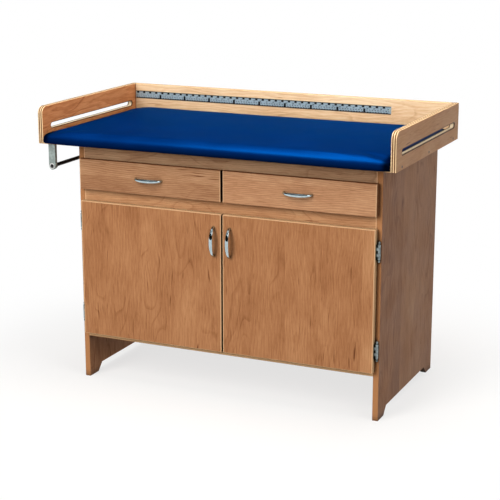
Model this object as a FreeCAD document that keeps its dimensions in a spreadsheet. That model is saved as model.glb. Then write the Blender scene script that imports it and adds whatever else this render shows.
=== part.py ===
import FreeCAD, Part
import math
import os
import Sketcher

# Pediatric examination table: a tray with a padded deck on a cabinet of drawers and doors.
# Millimetres. X runs to the right, Y to the rear, Z up. The origin is on the floor, under the middle.

SIZES = {
    # tray
    "overall_length": 1257,
    "overall_height": 958,
    "guard_height": 124,
    "guard_depth": 660,
    "guard_thickness": 19,
    "guard_corner_radius": 26,
    "guard_edge_round": 2.5,
    "slot_height": 18,
    "slot_front_margin": 50,
    "slot_rear_margin": 44,
    "slot_centre_rise": 54.5,
    "back_guard_thickness": 19,
    "deck_thickness": 19,
    # pad
    "pad_thickness": 24,
    "pad_crown": 4,
    "pad_nose_reach": 19,
    "pad_nose_lift": 0.5,
    "pad_top_radius": 15,
    "pad_corner_radius": 12,
    "pad_under_radius": 8,
    "pad_fit": 0.5,
    # measuring rule
    "rule_length": 1000,
    "rule_width": 27.5,
    "rule_thickness": 0.8,
    "rule_inset": 4,
    "rule_rise": 71,
    # cabinet
    "cabinet_depth": 573,
    "left_overhang": 104,
    "right_overhang": 69,
    "panel_thickness": 19,
    "foot_length": 56,
    "foot_slope": 26,
    "foot_height": 28,
    "floor_rise": 149.5,
    "floor_thickness": 19,
    "back_thickness": 6,
    "rail_thickness": 19,
    "top_rail_height": 64,
    "mid_rail_height": 53,
    "drawer_opening_height": 88,
    "divider_thickness": 19,
    "bay_floor_thickness": 19,
    "cleat_height": 38,
    "cleat_thickness": 19,
    "shelf_rise": 390,
    "shelf_thickness": 19,
    "shelf_setback": 45,
    "shelf_side_gap": 1,
    "shelf_pin_diameter": 5,
    "shelf_pin_length": 20,
    "shelf_pin_depth": 10,
    "shelf_pin_margin": 60,
    "pin_fit": 0.05,
    # drawers
    "front_thickness": 19,
    "front_standoff": 2.5,
    "front_edge_round": 2,
    "drawer_front_lap": 10,
    "drawer_front_height": 104.5,
    "drawer_front_inset": 12.7,
    "drawer_gap": 8.5,
    "box_clearance": 6,
    "box_depth": 470,
    "box_wall": 12.7,
    "box_bottom_thickness": 6,
    "box_bottom_lift": 9,
    "box_groove_depth": 6,
    "box_groove_fit": 0.2,
    "slide_width": 12.7,
    "slide_height": 45.7,
    "slide_length": 457,
    "slide_gauge": 1.5,
    "slide_run_gap": 0.4,
    "slide_setback": 4,
    # doors
    "door_floor_lap": 3.5,
    "door_drawer_gap": 40.5,
    "door_inset": 14.5,
    "door_gap": 6,
    "strike_width": 28,
    "strike_height": 14,
    "strike_thickness": 1.2,
    "strike_margin": 4,
    "catch_width": 72,
    "catch_height": 16,
    "catch_depth": 32,
    "catch_gap": 0.3,
    "catch_edge_round": 2,
    # hinges
    "hinge_height": 48,
    "hinge_knuckles": 5,
    "hinge_end_distance": 72,
    "hinge_barrel_diameter": 10.4,
    "hinge_panel_gap": 0.3,
    "hinge_axis_inset": 7,
    "hinge_pin_diameter": 5,
    "hinge_knuckle_gap": 0.3,
    "hinge_leaf_gauge": 1,
    "hinge_leaf_reach": 25,
    "hinge_edge_wrap": 13,
    "hinge_tip_diameter": 9.4,
    "hinge_tip_neck": 1.5,
    # pulls
    "pull_centres": 96,
    "pull_rise": 25,
    "pull_spans": 9,
    "pull_end_width": 8.6,
    "pull_end_thickness": 7.6,
    "pull_middle_width": 12.5,
    "pull_middle_thickness": 7,
    "pull_edge_margin": 26,
    "pull_drop": 92,
    "pull_bore_depth": 9,
    "pull_screw_diameter": 4,
    "pull_screw_head": 8,
    "pull_screw_head_height": 2.6,
    "pull_screw_reach": 7,
    "screw_fit": 0.2,
    # guard screws
    "guard_screw_diameter": 4.5,
    "guard_screw_head": 9,
    "guard_screw_head_height": 2.6,
    "guard_screw_length": 45,
    "guard_screw_margin": 56,
    "guard_screw_count": 3,
    # paper-roll holder
    "bracket_width": 25,
    "bracket_flange": 12,
    "bracket_gauge": 2,
    "bracket_setback": 15,
    "bracket_spread": 577,
    "bracket_tab": 38,
    "bracket_screw_diameter": 4,
    "bracket_screw_head": 8,
    "bracket_screw_head_height": 2.5,
    "bracket_screw_length": 14,
    "bracket_screw_clear": 6,
    "rod_diameter": 12.7,
    "rod_fit": 0.3,
    "rod_inset": 41,
    "rod_drop": 77,
    "rod_overhang": 3,
    "rod_end_round": 1.2,
    "collar_diameter": 19,
    "collar_length": 9,
}

# Places that follow from the sizes. A formula may use the places above it.
LAYOUT = {
    "half_length": "sizes.overall_length / 2",
    "rear": "(sizes.guard_depth + sizes.pad_nose_reach) / 2",
    "guard_front": "rear - sizes.guard_depth",
    "deck_under": "sizes.overall_height - sizes.guard_height",
    "deck_top": "deck_under + sizes.deck_thickness",
    "deck_half": "half_length - sizes.guard_thickness",
    "deck_rear": "rear - sizes.back_guard_thickness",
    "deck_depth": "deck_rear - guard_front",
    "slot_start": "sizes.slot_front_margin + sizes.slot_height / 2",
    "slot_end": "sizes.guard_depth - sizes.slot_rear_margin - sizes.slot_height / 2",
    "pad_half": "deck_half - sizes.pad_fit",
    "pad_top": "deck_top + sizes.pad_thickness",
    "pad_rear": "deck_rear - sizes.pad_fit",
    "pad_shoulder": "guard_front - sizes.pad_fit",
    "nose_under": "deck_under + sizes.pad_nose_lift",
    "cabinet_left": "sizes.left_overhang - half_length",
    "cabinet_width": "sizes.overall_length - sizes.left_overhang - sizes.right_overhang",
    "cabinet_centre": "cabinet_left + cabinet_width / 2",
    "cabinet_front": "rear - sizes.cabinet_depth",
    "inner_left": "cabinet_left + sizes.panel_thickness",
    "inner_width": "cabinet_width - 2 * sizes.panel_thickness",
    "carcass_rear": "rear - sizes.back_thickness",
    "carcass_depth": "carcass_rear - cabinet_front",
    "rail_rear": "cabinet_front + sizes.rail_thickness",
    "behind_rails": "carcass_rear - rail_rear",
    "top_rail_under": "deck_under - sizes.top_rail_height",
    "mid_rail_top": "top_rail_under - sizes.drawer_opening_height",
    "mid_rail_rise": "mid_rail_top - sizes.mid_rail_height",
    "opening_middle": "(mid_rail_top + top_rail_under) / 2",
    "divider_left": "cabinet_centre - sizes.divider_thickness / 2",
    "bay_width": "divider_left - inner_left",
    "bay_centre": "inner_left + bay_width / 2",
    "shelf_front": "cabinet_front + sizes.shelf_setback",
    "shelf_depth": "carcass_rear - shelf_front",
    "fronts_rear": "cabinet_front - sizes.front_standoff",
    "fronts_face": "fronts_rear - sizes.front_thickness",
    "drawer_front_left": "cabinet_left + sizes.drawer_front_inset",
    "drawer_front_rise": "top_rail_under + sizes.drawer_front_lap - sizes.drawer_front_height",
    "drawer_front_width": "cabinet_width / 2 - sizes.drawer_front_inset - sizes.drawer_gap / 2",
    "drawer_pull_x": "drawer_front_left + drawer_front_width / 2",
    "drawer_pull_z": "drawer_front_rise + sizes.drawer_front_height / 2",
    "box_left": "inner_left + sizes.slide_width",
    "box_width": "bay_width - 2 * sizes.slide_width",
    "box_height": "sizes.drawer_opening_height - 2 * sizes.box_clearance",
    "box_under": "mid_rail_top + sizes.box_clearance",
    "box_inner_width": "box_width - 2 * sizes.box_wall",
    "box_inner_depth": "sizes.box_depth - 2 * sizes.box_wall",
    "box_groove_height": "sizes.box_bottom_thickness + 2 * sizes.box_groove_fit",
    "slide_half": "sizes.slide_height / 2",
    "slide_middle_half": "slide_half - sizes.slide_gauge - sizes.slide_run_gap",
    "slide_drawer_half": "slide_middle_half - sizes.slide_gauge - sizes.slide_run_gap",
    "slide_front": "cabinet_front + sizes.slide_setback",
    "door_left": "cabinet_left + sizes.door_inset",
    "door_width": "cabinet_width / 2 - sizes.door_inset - sizes.door_gap / 2",
    "door_rise": "sizes.floor_rise + sizes.floor_thickness - sizes.door_floor_lap",
    "door_top": "drawer_front_rise - sizes.door_drawer_gap",
    "door_height": "door_top - door_rise",
    "door_middle": "(door_rise + door_top) / 2",
    "door_pull_x": "door_left + door_width - sizes.pull_edge_margin",
    "door_pull_z": "door_top - sizes.pull_drop",
    "barrel_radius": "sizes.hinge_barrel_diameter / 2",
    "hinge_x": "cabinet_left + sizes.hinge_axis_inset",
    "hinge_y": "cabinet_front - barrel_radius - sizes.hinge_panel_gap",
    "hinge_z": "door_top - sizes.hinge_end_distance - sizes.hinge_height / 2",
    "knuckle_pitch": "(sizes.hinge_height + sizes.hinge_knuckle_gap) / sizes.hinge_knuckles",
    "knuckle_height": "knuckle_pitch - sizes.hinge_knuckle_gap",
    "leaf_start": "barrel_radius + 2 * sizes.hinge_panel_gap",
    "panel_face": "cabinet_front - hinge_y",
    "panel_inside": "sizes.panel_thickness - sizes.hinge_axis_inset",
    "door_edge": "sizes.door_inset - sizes.hinge_axis_inset",
    "door_back": "fronts_rear - hinge_y",
    "pull_half": "sizes.pull_centres / 2",
    "guard_screw_z": "deck_under + sizes.deck_thickness / 2",
    "guard_screw_span": "sizes.guard_depth - 2 * sizes.guard_screw_margin",
    "guard_screw_pitch": "guard_screw_span / (sizes.guard_screw_count - 1)",
    "rod_x": "sizes.rod_inset - half_length",
    "rod_z": "deck_under - sizes.rod_drop",
    "bracket_front": "guard_front + sizes.bracket_setback",
    "bracket_middle": "bracket_front + sizes.bracket_spread / 2",
    "bracket_screw_y": "(sizes.bracket_flange + sizes.bracket_tab) / 2",
}

# Lengths closer than HAIR count as equal. CLEAR is more than that and less than any board's thickness.
HAIR = 1e-4
CLEAR = 1

doc = FreeCAD.newDocument("examination_table")
sizes = doc.addObject("Spreadsheet::Sheet", "sizes")
for row, (alias, amount) in enumerate(SIZES.items(), 1):
    sizes.set(f"A{row}", alias)
    sizes.set(f"B{row}", str(amount))
    sizes.setAlias(f"B{row}", alias)
doc.recompute()
layout = doc.addObject("App::VarSet", "layout")
for place, formula in LAYOUT.items():
    layout.addProperty("App::PropertyFloat", place, "layout")
    layout.setExpression(place, formula)
doc.recompute()

nodes = []


def node(item, label):
    item.Label = label
    nodes.append(item)
    return item


def origin_item(body, role):
    return next(item for item in body.Origin.OriginFeatures if item.Role == role)


def new_body(name, x, y, z):
    body = doc.addObject("PartDesign::Body", name)
    for axis, formula in zip("xyz", (x, y, z)):
        body.setExpression("Placement.Base." + axis, formula)
    return body


def new_sketch(body, role, lift="0"):
    sketch = body.newObject("Sketcher::SketchObject", body.Name + "_sketch")
    sketch.AttachmentSupport = [(origin_item(body, role), "")]
    sketch.MapMode = "FlatFace"
    sketch.setExpression("AttachmentOffset.Base.z", lift)
    return sketch


def bind(sketch, constraint, formula):
    index = sketch.addConstraint(constraint)
    sketch.setExpression(f"Constraints[{index}]", formula)


def pin_point(sketch, element, point, across, up):
    spot = sketch.getPoint(element, point)
    bind(sketch, Sketcher.Constraint("DistanceX", -1, 1, element, point, spot.x), across)
    bind(sketch, Sketcher.Constraint("DistanceY", -1, 1, element, point, spot.y), up)


def draw_polygon(sketch, corners):
    # The seed points lie on a circle; the bound distances then pull each corner to its place.
    count = len(corners)
    first = sketch.GeometryCount
    seeds = [FreeCAD.Vector(math.cos(k * math.tau / count), math.sin(k * math.tau / count), 0)
             for k in range(count)]
    for k in range(count):
        sketch.addGeometry(Part.LineSegment(seeds[k], seeds[(k + 1) % count]))
    for k in range(count):
        sketch.addConstraint(Sketcher.Constraint("Coincident", first + k, 2, first + (k + 1) % count, 1))
    for k, (across, up) in enumerate(corners):
        pin_point(sketch, first + k, 1, across, up)


def draw_rectangle(sketch, left, low, right, high):
    draw_polygon(sketch, [(left, low), (right, low), (right, high), (left, high)])


def draw_circle(sketch, across, up, diameter):
    circle = Part.Circle(FreeCAD.Vector(1, 1, 0), FreeCAD.Vector(0, 0, 1), 1)
    element = sketch.addGeometry(circle)
    pin_point(sketch, element, 3, across, up)
    bind(sketch, Sketcher.Constraint("Diameter", element, 2), diameter)


def draw_slot(sketch, start, end, up, height):
    # Two half-round ends joined by two tangent lines.
    half = FreeCAD.Vector(0, getattr(sizes, height) / 2, 0)
    near = FreeCAD.Vector(getattr(layout, start), getattr(sizes, up), 0)
    far = FreeCAD.Vector(getattr(layout, end), getattr(sizes, up), 0)
    quarter = math.pi / 2
    normal = FreeCAD.Vector(0, 0, 1)
    low = sketch.addGeometry(Part.LineSegment(near - half, far - half))
    far_circle = Part.Circle(far, normal, half.y)
    right = sketch.addGeometry(Part.ArcOfCircle(far_circle, -quarter, quarter))
    high = sketch.addGeometry(Part.LineSegment(far + half, near + half))
    near_circle = Part.Circle(near, normal, half.y)
    left = sketch.addGeometry(Part.ArcOfCircle(near_circle, quarter, 3 * quarter))
    ring = [low, right, high, left]
    for here, after in zip(ring, ring[1:] + ring[:1]):
        sketch.addConstraint(Sketcher.Constraint("Tangent", here, 2, after, 1))
    pin_point(sketch, right, 3, "layout." + end, "sizes." + up)
    pin_point(sketch, left, 3, "layout." + start, "sizes." + up)
    sketch.addConstraint(Sketcher.Constraint("Equal", left, right))
    bind(sketch, Sketcher.Constraint("Diameter", right, 2 * half.y), "sizes." + height)


def feature(body, kind, sketch, length=None, flipped=False):
    item = body.newObject("PartDesign::" + kind, f"{body.Name}_{kind.lower()}")
    item.Profile = sketch
    item.Reversed = flipped
    if length is None:
        item.Type = "ThroughAll"
    else:
        item.setExpression("Length", length)
    return item


def pad(body, sketch, length, flipped=False):
    return feature(body, "Pad", sketch, length, flipped)


def pocket(body, sketch, length=None, flipped=False):
    doc.recompute()
    before = body.Shape.Volume
    item = feature(body, "Pocket", sketch, length, flipped)
    doc.recompute()
    if not body.Shape.Volume < before:
        raise RuntimeError(f"{item.Name} cuts nothing")
    return item


def revolve(body, kind, sketch):
    item = body.newObject("PartDesign::" + kind, f"{body.Name}_{kind.lower()}")
    item.Profile = sketch
    item.ReferenceAxis = (sketch, ["V_Axis"])
    return item


def repeat(body, original, role, spacing, count):
    pattern = body.newObject("PartDesign::LinearPattern", body.Name + "_row")
    pattern.Originals = [original]
    pattern.Direction = (origin_item(body, role), [""])
    pattern.Occurrences = count
    pattern.setExpression("Length", f"({spacing}) * {count - 1}")
    body.Tip = pattern
    return pattern


def round_edges(body, base, radius, wanted):
    doc.recompute()
    item = body.newObject("PartDesign::Fillet", body.Name + "_round")
    names = [f"Edge{k}" for k, edge in enumerate(base.Shape.Edges, 1) if wanted(edge.BoundBox)]
    item.Base = (base, names)
    item.setExpression("Radius", radius)
    return item


def same(a, b):
    return abs(a - b) < HAIR


def board(name, x, y, z, role, wide, tall, thick, forward=False):
    # A plain rectangular board: drawn on one plane, then given its thickness.
    body = new_body(name, x, y, z)
    sketch = new_sketch(body, role)
    draw_rectangle(sketch, "0", "0", wide, tall)
    pad(body, sketch, thick, flipped=(role == "XZ_Plane" and not forward))
    return body


def group(label, items):
    bundle = doc.addObject("Part::Compound", label)
    bundle.Links = items
    return bundle


def mirror(name, source, axis, place):
    twin = doc.addObject("Part::Mirroring", name)
    twin.Source = source
    twin.Normal = FreeCAD.Vector(axis == "x", axis == "y", axis == "z")
    twin.setExpression("Base." + axis, place)
    return twin


def both_hands(name, item, place="layout.cabinet_centre"):
    # The left-hand piece and its mirror image become two nodes.
    node(item, "left_" + name)
    return node(mirror("right_" + name, item, "x", place), "right_" + name)


# Screws: a revolved head and shank, with the head's outer face at the body's origin and the shank along +Y.
def screw(name, x, y, z, shank, head, head_height, length, flat_head):
    body = new_body(name, x, y, z)
    sketch = new_sketch(body, "XY_Plane")
    if flat_head:
        corners = [("0", "0"), (f"{head} / 2", "0"), (f"{shank} / 2", head_height)]
    else:
        corners = [("0", f"-{head_height}"), (f"{head} / 2 - {head_height} / 4", f"-{head_height}"),
                   (f"{head} / 2", f"-{head_height} / 2"), (f"{head} / 2", "0"), (f"{shank} / 2", "0")]
    corners += [(f"{shank} / 2", length), ("0", length)]
    draw_polygon(sketch, corners)
    return body, revolve(body, "Revolution", sketch)


def end_panels():
    panel = new_body("left_end_panel", "layout.cabinet_left", "layout.cabinet_front", "0")
    side = new_sketch(panel, "YZ_Plane")
    arch = "sizes.foot_length + sizes.foot_slope"
    draw_polygon(side, [
        ("0", "0"), ("sizes.foot_length", "0"), (arch, "sizes.foot_height"),
        (f"sizes.cabinet_depth - ({arch})", "sizes.foot_height"),
        ("sizes.cabinet_depth - sizes.foot_length", "0"), ("sizes.cabinet_depth", "0"),
        ("sizes.cabinet_depth", "layout.deck_under"), ("0", "layout.deck_under")])
    pad(panel, side, "sizes.panel_thickness")
    holes = new_sketch(panel, "YZ_Plane", "sizes.panel_thickness")
    for across in shelf_pin_places():
        draw_circle(holes, f"{across} - layout.cabinet_front", shelf_pin_height(),
                    "sizes.shelf_pin_diameter + 2 * sizes.pin_fit")
    pocket(panel, holes, "sizes.shelf_pin_depth")
    both_hands("end_panel", panel)


def shelf_pin_places():
    return ("layout.shelf_front + sizes.shelf_pin_margin", "layout.carcass_rear - sizes.shelf_pin_margin")


def shelf_pin_height():
    return "sizes.shelf_rise - sizes.shelf_pin_diameter / 2 - sizes.pin_fit"


def carcass():
    left, front = "layout.inner_left", "layout.cabinet_front"
    width, depth = "layout.inner_width", "layout.carcass_depth"
    node(board("cabinet_floor", left, front, "sizes.floor_rise", "XY_Plane", width, depth,
               "sizes.floor_thickness"), "cabinet_floor")
    node(board("cabinet_back", left, "layout.carcass_rear", "sizes.floor_rise", "XZ_Plane", width,
               "layout.deck_under - sizes.floor_rise", "sizes.back_thickness"), "cabinet_back")
    node(board("top_rail", left, front, "layout.top_rail_under", "XZ_Plane", width,
               "sizes.top_rail_height", "sizes.rail_thickness"), "top_rail")
    node(board("mid_rail", left, front, "layout.mid_rail_rise", "XZ_Plane", width,
               "sizes.mid_rail_height", "sizes.rail_thickness"), "mid_rail")
    node(board("drawer_bay_floor", left, "layout.rail_rear",
               "layout.mid_rail_top - sizes.bay_floor_thickness", "XY_Plane", width,
               "layout.behind_rails", "sizes.bay_floor_thickness"), "drawer_bay_floor")
    divider = new_body("drawer_divider", "layout.divider_left", front, "layout.mid_rail_top")
    side = new_sketch(divider, "YZ_Plane")
    opening = "layout.top_rail_under - layout.mid_rail_top"
    height = "layout.deck_under - layout.mid_rail_top"
    draw_polygon(side, [("0", "0"), (depth, "0"), (depth, height), ("sizes.rail_thickness", height),
                        ("sizes.rail_thickness", opening), ("0", opening)])
    pad(divider, side, "sizes.divider_thickness")
    node(divider, "drawer_divider")
    cleat = board("left_deck_cleat", left, "layout.rail_rear", "layout.deck_under - sizes.cleat_height",
                  "YZ_Plane", "layout.behind_rails", "sizes.cleat_height", "sizes.cleat_thickness")
    twin = mirror("right_deck_cleat", cleat, "x", "layout.cabinet_centre")
    node(group("deck_cleats", [cleat, twin]), "deck_cleats")


def shelf():
    node(board("storage_shelf", "layout.inner_left + sizes.shelf_side_gap", "layout.shelf_front",
               "sizes.shelf_rise", "XY_Plane", "layout.inner_width - 2 * sizes.shelf_side_gap",
               "layout.shelf_depth", "sizes.shelf_thickness"), "storage_shelf")
    pins = new_body("left_shelf_pins", "layout.inner_left - sizes.shelf_pin_depth", "0", "0")
    ends = new_sketch(pins, "YZ_Plane")
    for across in shelf_pin_places():
        draw_circle(ends, across, shelf_pin_height(), "sizes.shelf_pin_diameter")
    pad(pins, ends, "sizes.shelf_pin_length")
    twin = mirror("right_shelf_pins", pins, "x", "layout.cabinet_centre")
    node(group("shelf_pins", [pins, twin]), "shelf_pins")


def deck():
    body = new_body("deck_board", "0", "layout.guard_front", "layout.deck_under")
    plan = new_sketch(body, "XY_Plane")
    draw_rectangle(plan, "-layout.deck_half", "0", "layout.deck_half", "layout.deck_depth")
    pad(body, plan, "sizes.deck_thickness")
    under = new_sketch(body, "XY_Plane")
    for side in "+-":
        for end in "+-":
            draw_circle(under, f"layout.rod_x {side} sizes.bracket_screw_clear",
                        f"layout.bracket_middle - layout.guard_front {end} "
                        "(sizes.bracket_spread / 2 - layout.bracket_screw_y)",
                        "sizes.bracket_screw_diameter + sizes.screw_fit")
    pocket(body, under, "sizes.bracket_screw_length", flipped=True)
    end = new_sketch(body, "YZ_Plane", "layout.deck_half")
    for step in range(int(sizes.guard_screw_count)):
        draw_circle(end, f"sizes.guard_screw_margin + {step} * layout.guard_screw_pitch",
                    "sizes.deck_thickness / 2", "sizes.guard_screw_diameter + sizes.screw_fit")
    pilot = pocket(body, end, "sizes.guard_screw_length - sizes.guard_thickness + sizes.screw_fit")
    twin = body.newObject("PartDesign::Mirrored", "deck_board_pilots")
    twin.Originals = [pilot]
    twin.MirrorPlane = (origin_item(body, "YZ_Plane"), [""])
    body.Tip = twin
    node(body, "deck_board")


def side_guards():
    guard = new_body("left_guard", "-layout.half_length", "layout.guard_front", "layout.deck_under")
    side = new_sketch(guard, "YZ_Plane")
    draw_rectangle(side, "0", "0", "sizes.guard_depth", "sizes.guard_height")
    blank = pad(guard, side, "sizes.guard_thickness")
    corner = round_edges(guard, blank, "sizes.guard_corner_radius",
                         lambda box: same(box.YMax, 0) and box.ZMin > CLEAR and same(box.ZLength, 0))
    round_edges(guard, corner, "sizes.guard_edge_round", guard_rim)
    slot = new_sketch(guard, "YZ_Plane")
    draw_slot(slot, "slot_start", "slot_end", "slot_centre_rise", "slot_height")
    pocket(guard, slot, flipped=True)
    sink = new_sketch(guard, "XY_Plane", "sizes.deck_thickness / 2")
    bore = "(sizes.guard_screw_diameter + sizes.screw_fit) / 2"
    mouth = "(sizes.guard_screw_head + sizes.screw_fit) / 2"
    draw_polygon(sink, [
        ("0", "sizes.guard_screw_margin"),
        ("0", f"sizes.guard_screw_margin + {mouth}"),
        ("sizes.guard_screw_head_height", f"sizes.guard_screw_margin + {bore}"),
        ("sizes.guard_thickness", f"sizes.guard_screw_margin + {bore}"),
        ("sizes.guard_thickness", "sizes.guard_screw_margin")])
    doc.recompute()
    hole = guard.newObject("PartDesign::Groove", "left_guard_hole")
    hole.Profile = sink
    hole.ReferenceAxis = (sink, ["Edge5"])
    repeat(guard, hole, "Y_Axis", "layout.guard_screw_pitch", int(sizes.guard_screw_count))
    both_hands("guard", guard, "0")


def guard_rim(box):
    # The long rim of both faces: over the top and round the front corner.
    flat = same(box.XLength, 0)
    return flat and box.ZMin > CLEAR or flat and same(box.YMax, 0) and box.ZLength > CLEAR


def back_guard():
    body = board("back_guard", "-layout.deck_half", "layout.deck_rear", "layout.deck_under", "XZ_Plane",
                 "2 * layout.deck_half", "sizes.guard_height", "sizes.back_guard_thickness")
    round_edges(body, body.Tip, "sizes.guard_edge_round",
                lambda box: box.ZMin > CLEAR and same(box.ZLength, 0) and same(box.YLength, 0))
    node(body, "back_guard")
    node(board("measuring_rule", "sizes.rule_inset - layout.deck_half", "layout.deck_rear",
               "layout.deck_under + sizes.rule_rise", "XZ_Plane", "sizes.rule_length",
               "sizes.rule_width", "sizes.rule_thickness", forward=True), "measuring_rule")


def guard_screws():
    body, turned = screw("right_guard_screws", "layout.half_length",
                         "layout.guard_front + sizes.guard_screw_margin", "layout.guard_screw_z",
                         "sizes.guard_screw_diameter", "sizes.guard_screw_head",
                         "sizes.guard_screw_head_height", "sizes.guard_screw_length", flat_head=True)
    body.Placement.Rotation = FreeCAD.Rotation(FreeCAD.Vector(0, 0, 1), 90)
    repeat(body, turned, "X_Axis", "layout.guard_screw_pitch", int(sizes.guard_screw_count))
    twin = mirror("left_guard_screws", body, "x", "0")
    node(group("guard_screws", [body, twin]), "guard_screws")


def pad_cushion():
    body = new_body("pad", "-layout.pad_half", "0", "0")
    section = new_sketch(body, "YZ_Plane")
    draw_polygon(section, [
        ("layout.pad_rear", "layout.deck_top"), ("layout.pad_rear", "layout.pad_top"),
        ("-layout.rear", "layout.pad_top"), ("-layout.rear", "layout.nose_under"),
        ("layout.pad_shoulder", "layout.nose_under"), ("layout.pad_shoulder", "layout.deck_top")])
    pad(body, section, "2 * layout.pad_half")
    draw_crown(body)
    front = -layout.rear
    shoulder = layout.pad_top - sizes.pad_crown - CLEAR
    lip = layout.guard_front - sizes.pad_under_radius
    corners = round_edges(body, body.Tip, "sizes.pad_corner_radius",
                          lambda box: same(box.YMax, front) and box.ZMin < shoulder and box.ZLength > CLEAR)
    rolled = round_edges(body, corners, "sizes.pad_top_radius", lambda box: box.ZMin > shoulder)
    round_edges(body, rolled, "sizes.pad_under_radius",
                lambda box: same(box.ZMax, layout.nose_under) and box.YMin < lip)
    node(body, "pad")


def draw_crown(body):
    # The top swells along the length: what lies above a long shallow arc is cut away.
    half, top, crown = layout.pad_half, layout.pad_top, sizes.pad_crown
    radius = (half ** 2 + crown ** 2) / (2 * crown)
    reach = math.asin(half / radius)
    circle = Part.Circle(FreeCAD.Vector(half, top - radius, 0), FreeCAD.Vector(0, 0, 1), radius)
    sketch = new_sketch(body, "XZ_Plane", "layout.rear + sizes.pad_top_radius")
    arc = sketch.addGeometry(Part.ArcOfCircle(circle, math.pi / 2 - reach, math.pi / 2 + reach))
    rim = (0, -crown), (0, crown), (2 * half, crown), (2 * half, -crown)
    corners = [FreeCAD.Vector(across, top + up, 0) for across, up in rim]
    sides = [sketch.addGeometry(Part.LineSegment(a, b)) for a, b in zip(corners, corners[1:])]
    ring = [arc] + sides
    for here, after in zip(ring, ring[1:] + ring[:1]):
        sketch.addConstraint(Sketcher.Constraint("Coincident", here, 2, after, 1))
    low, high = "layout.pad_top - sizes.pad_crown", "layout.pad_top + sizes.pad_crown"
    ends = ("0", low), ("0", high), ("2 * layout.pad_half", high)
    for side, (across, up) in zip(sides, ends):
        pin_point(sketch, side, 1, across, up)
    pin_point(sketch, arc, 1, "2 * layout.pad_half", low)
    bind(sketch, Sketcher.Constraint("Radius", arc, radius),
         "(layout.pad_half ^ 2 + sizes.pad_crown ^ 2) / (2 * sizes.pad_crown)")
    pocket(body, sketch)


def bow_pull(name, x, z, upright):
    # A half-elliptic bow: oval sections stand square to its path, thin at the feet and wide in the middle.
    sections = []
    spans = int(sizes.pull_spans)
    for step in range(spans + 1):
        turn = f"180 deg * {step} / sizes.pull_spans"
        oval = doc.addObject("Part::Ellipse", f"{name}_section")
        for radius, size in (("MajorRadius", "width"), ("MinorRadius", "thickness")):
            oval.setExpression(radius, f"sizes.pull_end_{size} / 2 + sin({turn}) ^ 2 * "
                                       f"(sizes.pull_middle_{size} - sizes.pull_end_{size}) / 2")
        along = f"cos({turn}) * layout.pull_half"
        out = f"layout.fronts_face - sin({turn}) * sizes.pull_rise"
        lean = f"atan2(cos({turn}) * sizes.pull_rise; sin({turn}) * layout.pull_half)"
        if upright:
            place = f"vector({x}; {out}; {z} + {along}); rotation(0; 0; -{lean})"
        else:
            place = f"vector({x} + {along}; {out}; {z}); rotation({lean}; 90; 0)"
        oval.setExpression("Placement", f"placement({place})")
        sections.append(oval)
    bow = doc.addObject("Part::Loft", name + "_bow")
    bow.Sections = sections
    bow.Solid = True
    bores = new_body(name + "_bores", x, "layout.fronts_face", z)
    sketch = new_sketch(bores, "XZ_Plane")
    for foot in ("layout.pull_half", "-layout.pull_half"):
        across, up = ("0", foot) if upright else (foot, "0")
        draw_circle(sketch, across, up, "sizes.pull_screw_diameter + sizes.screw_fit")
    pad(bores, sketch, "sizes.pull_bore_depth")
    cut = doc.addObject("Part::Cut", name)
    cut.Base = bow
    cut.Tool = bores
    return cut


def pull_screws(name, x, z, seat, role):
    body, turned = screw(name, x, seat, z, "sizes.pull_screw_diameter", "sizes.pull_screw_head",
                         "sizes.pull_screw_head_height",
                         f"{seat} - layout.fronts_face + sizes.pull_screw_reach", flat_head=False)
    body.Placement.Rotation = FreeCAD.Rotation(FreeCAD.Vector(0, 0, 1), 180)
    repeat(body, turned, role, "sizes.pull_centres", 2)
    return body


def front_board(name, x, z, wide, tall, holes):
    # A drawer front or door: the edges of its face are eased, and the pull's screws pass through it.
    body = new_body(name, x, "layout.fronts_rear", z)
    face = new_sketch(body, "XZ_Plane")
    draw_rectangle(face, "0", "0", wide, tall)
    blank = pad(body, face, "sizes.front_thickness")
    doc.recompute()
    front = blank.Shape.BoundBox.YMin
    round_edges(body, blank, "sizes.front_edge_round",
                lambda box: same(box.YMin, front) and same(box.YMax, front))
    drill(body, holes)
    return body


def drill(body, holes):
    sketch = new_sketch(body, "XZ_Plane", "2 * sizes.front_thickness")
    for across, up in holes:
        draw_circle(sketch, across, up, "sizes.pull_screw_diameter + sizes.screw_fit")
    pocket(body, sketch)


def box_board(name, x, y, role, length, way):
    # A drawer-box board: its section has a groove on the inner side for the bottom.
    body = new_body(name, x, y, "layout.box_under")
    sketch = new_sketch(body, role)
    wall, depth = "sizes.box_wall", "sizes.box_wall - sizes.box_groove_depth"
    low = "sizes.box_bottom_lift - sizes.box_groove_fit"
    high = f"{low} + layout.box_groove_height"
    corners = [("0", "0"), (wall, "0"), (wall, low), (depth, low), (depth, high), (wall, high),
               (wall, "layout.box_height"), ("0", "layout.box_height")]
    draw_polygon(sketch, [(f"{way}({across})", up) for across, up in corners])
    pad(body, sketch, length, flipped=(role == "XZ_Plane"))
    return body


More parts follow.
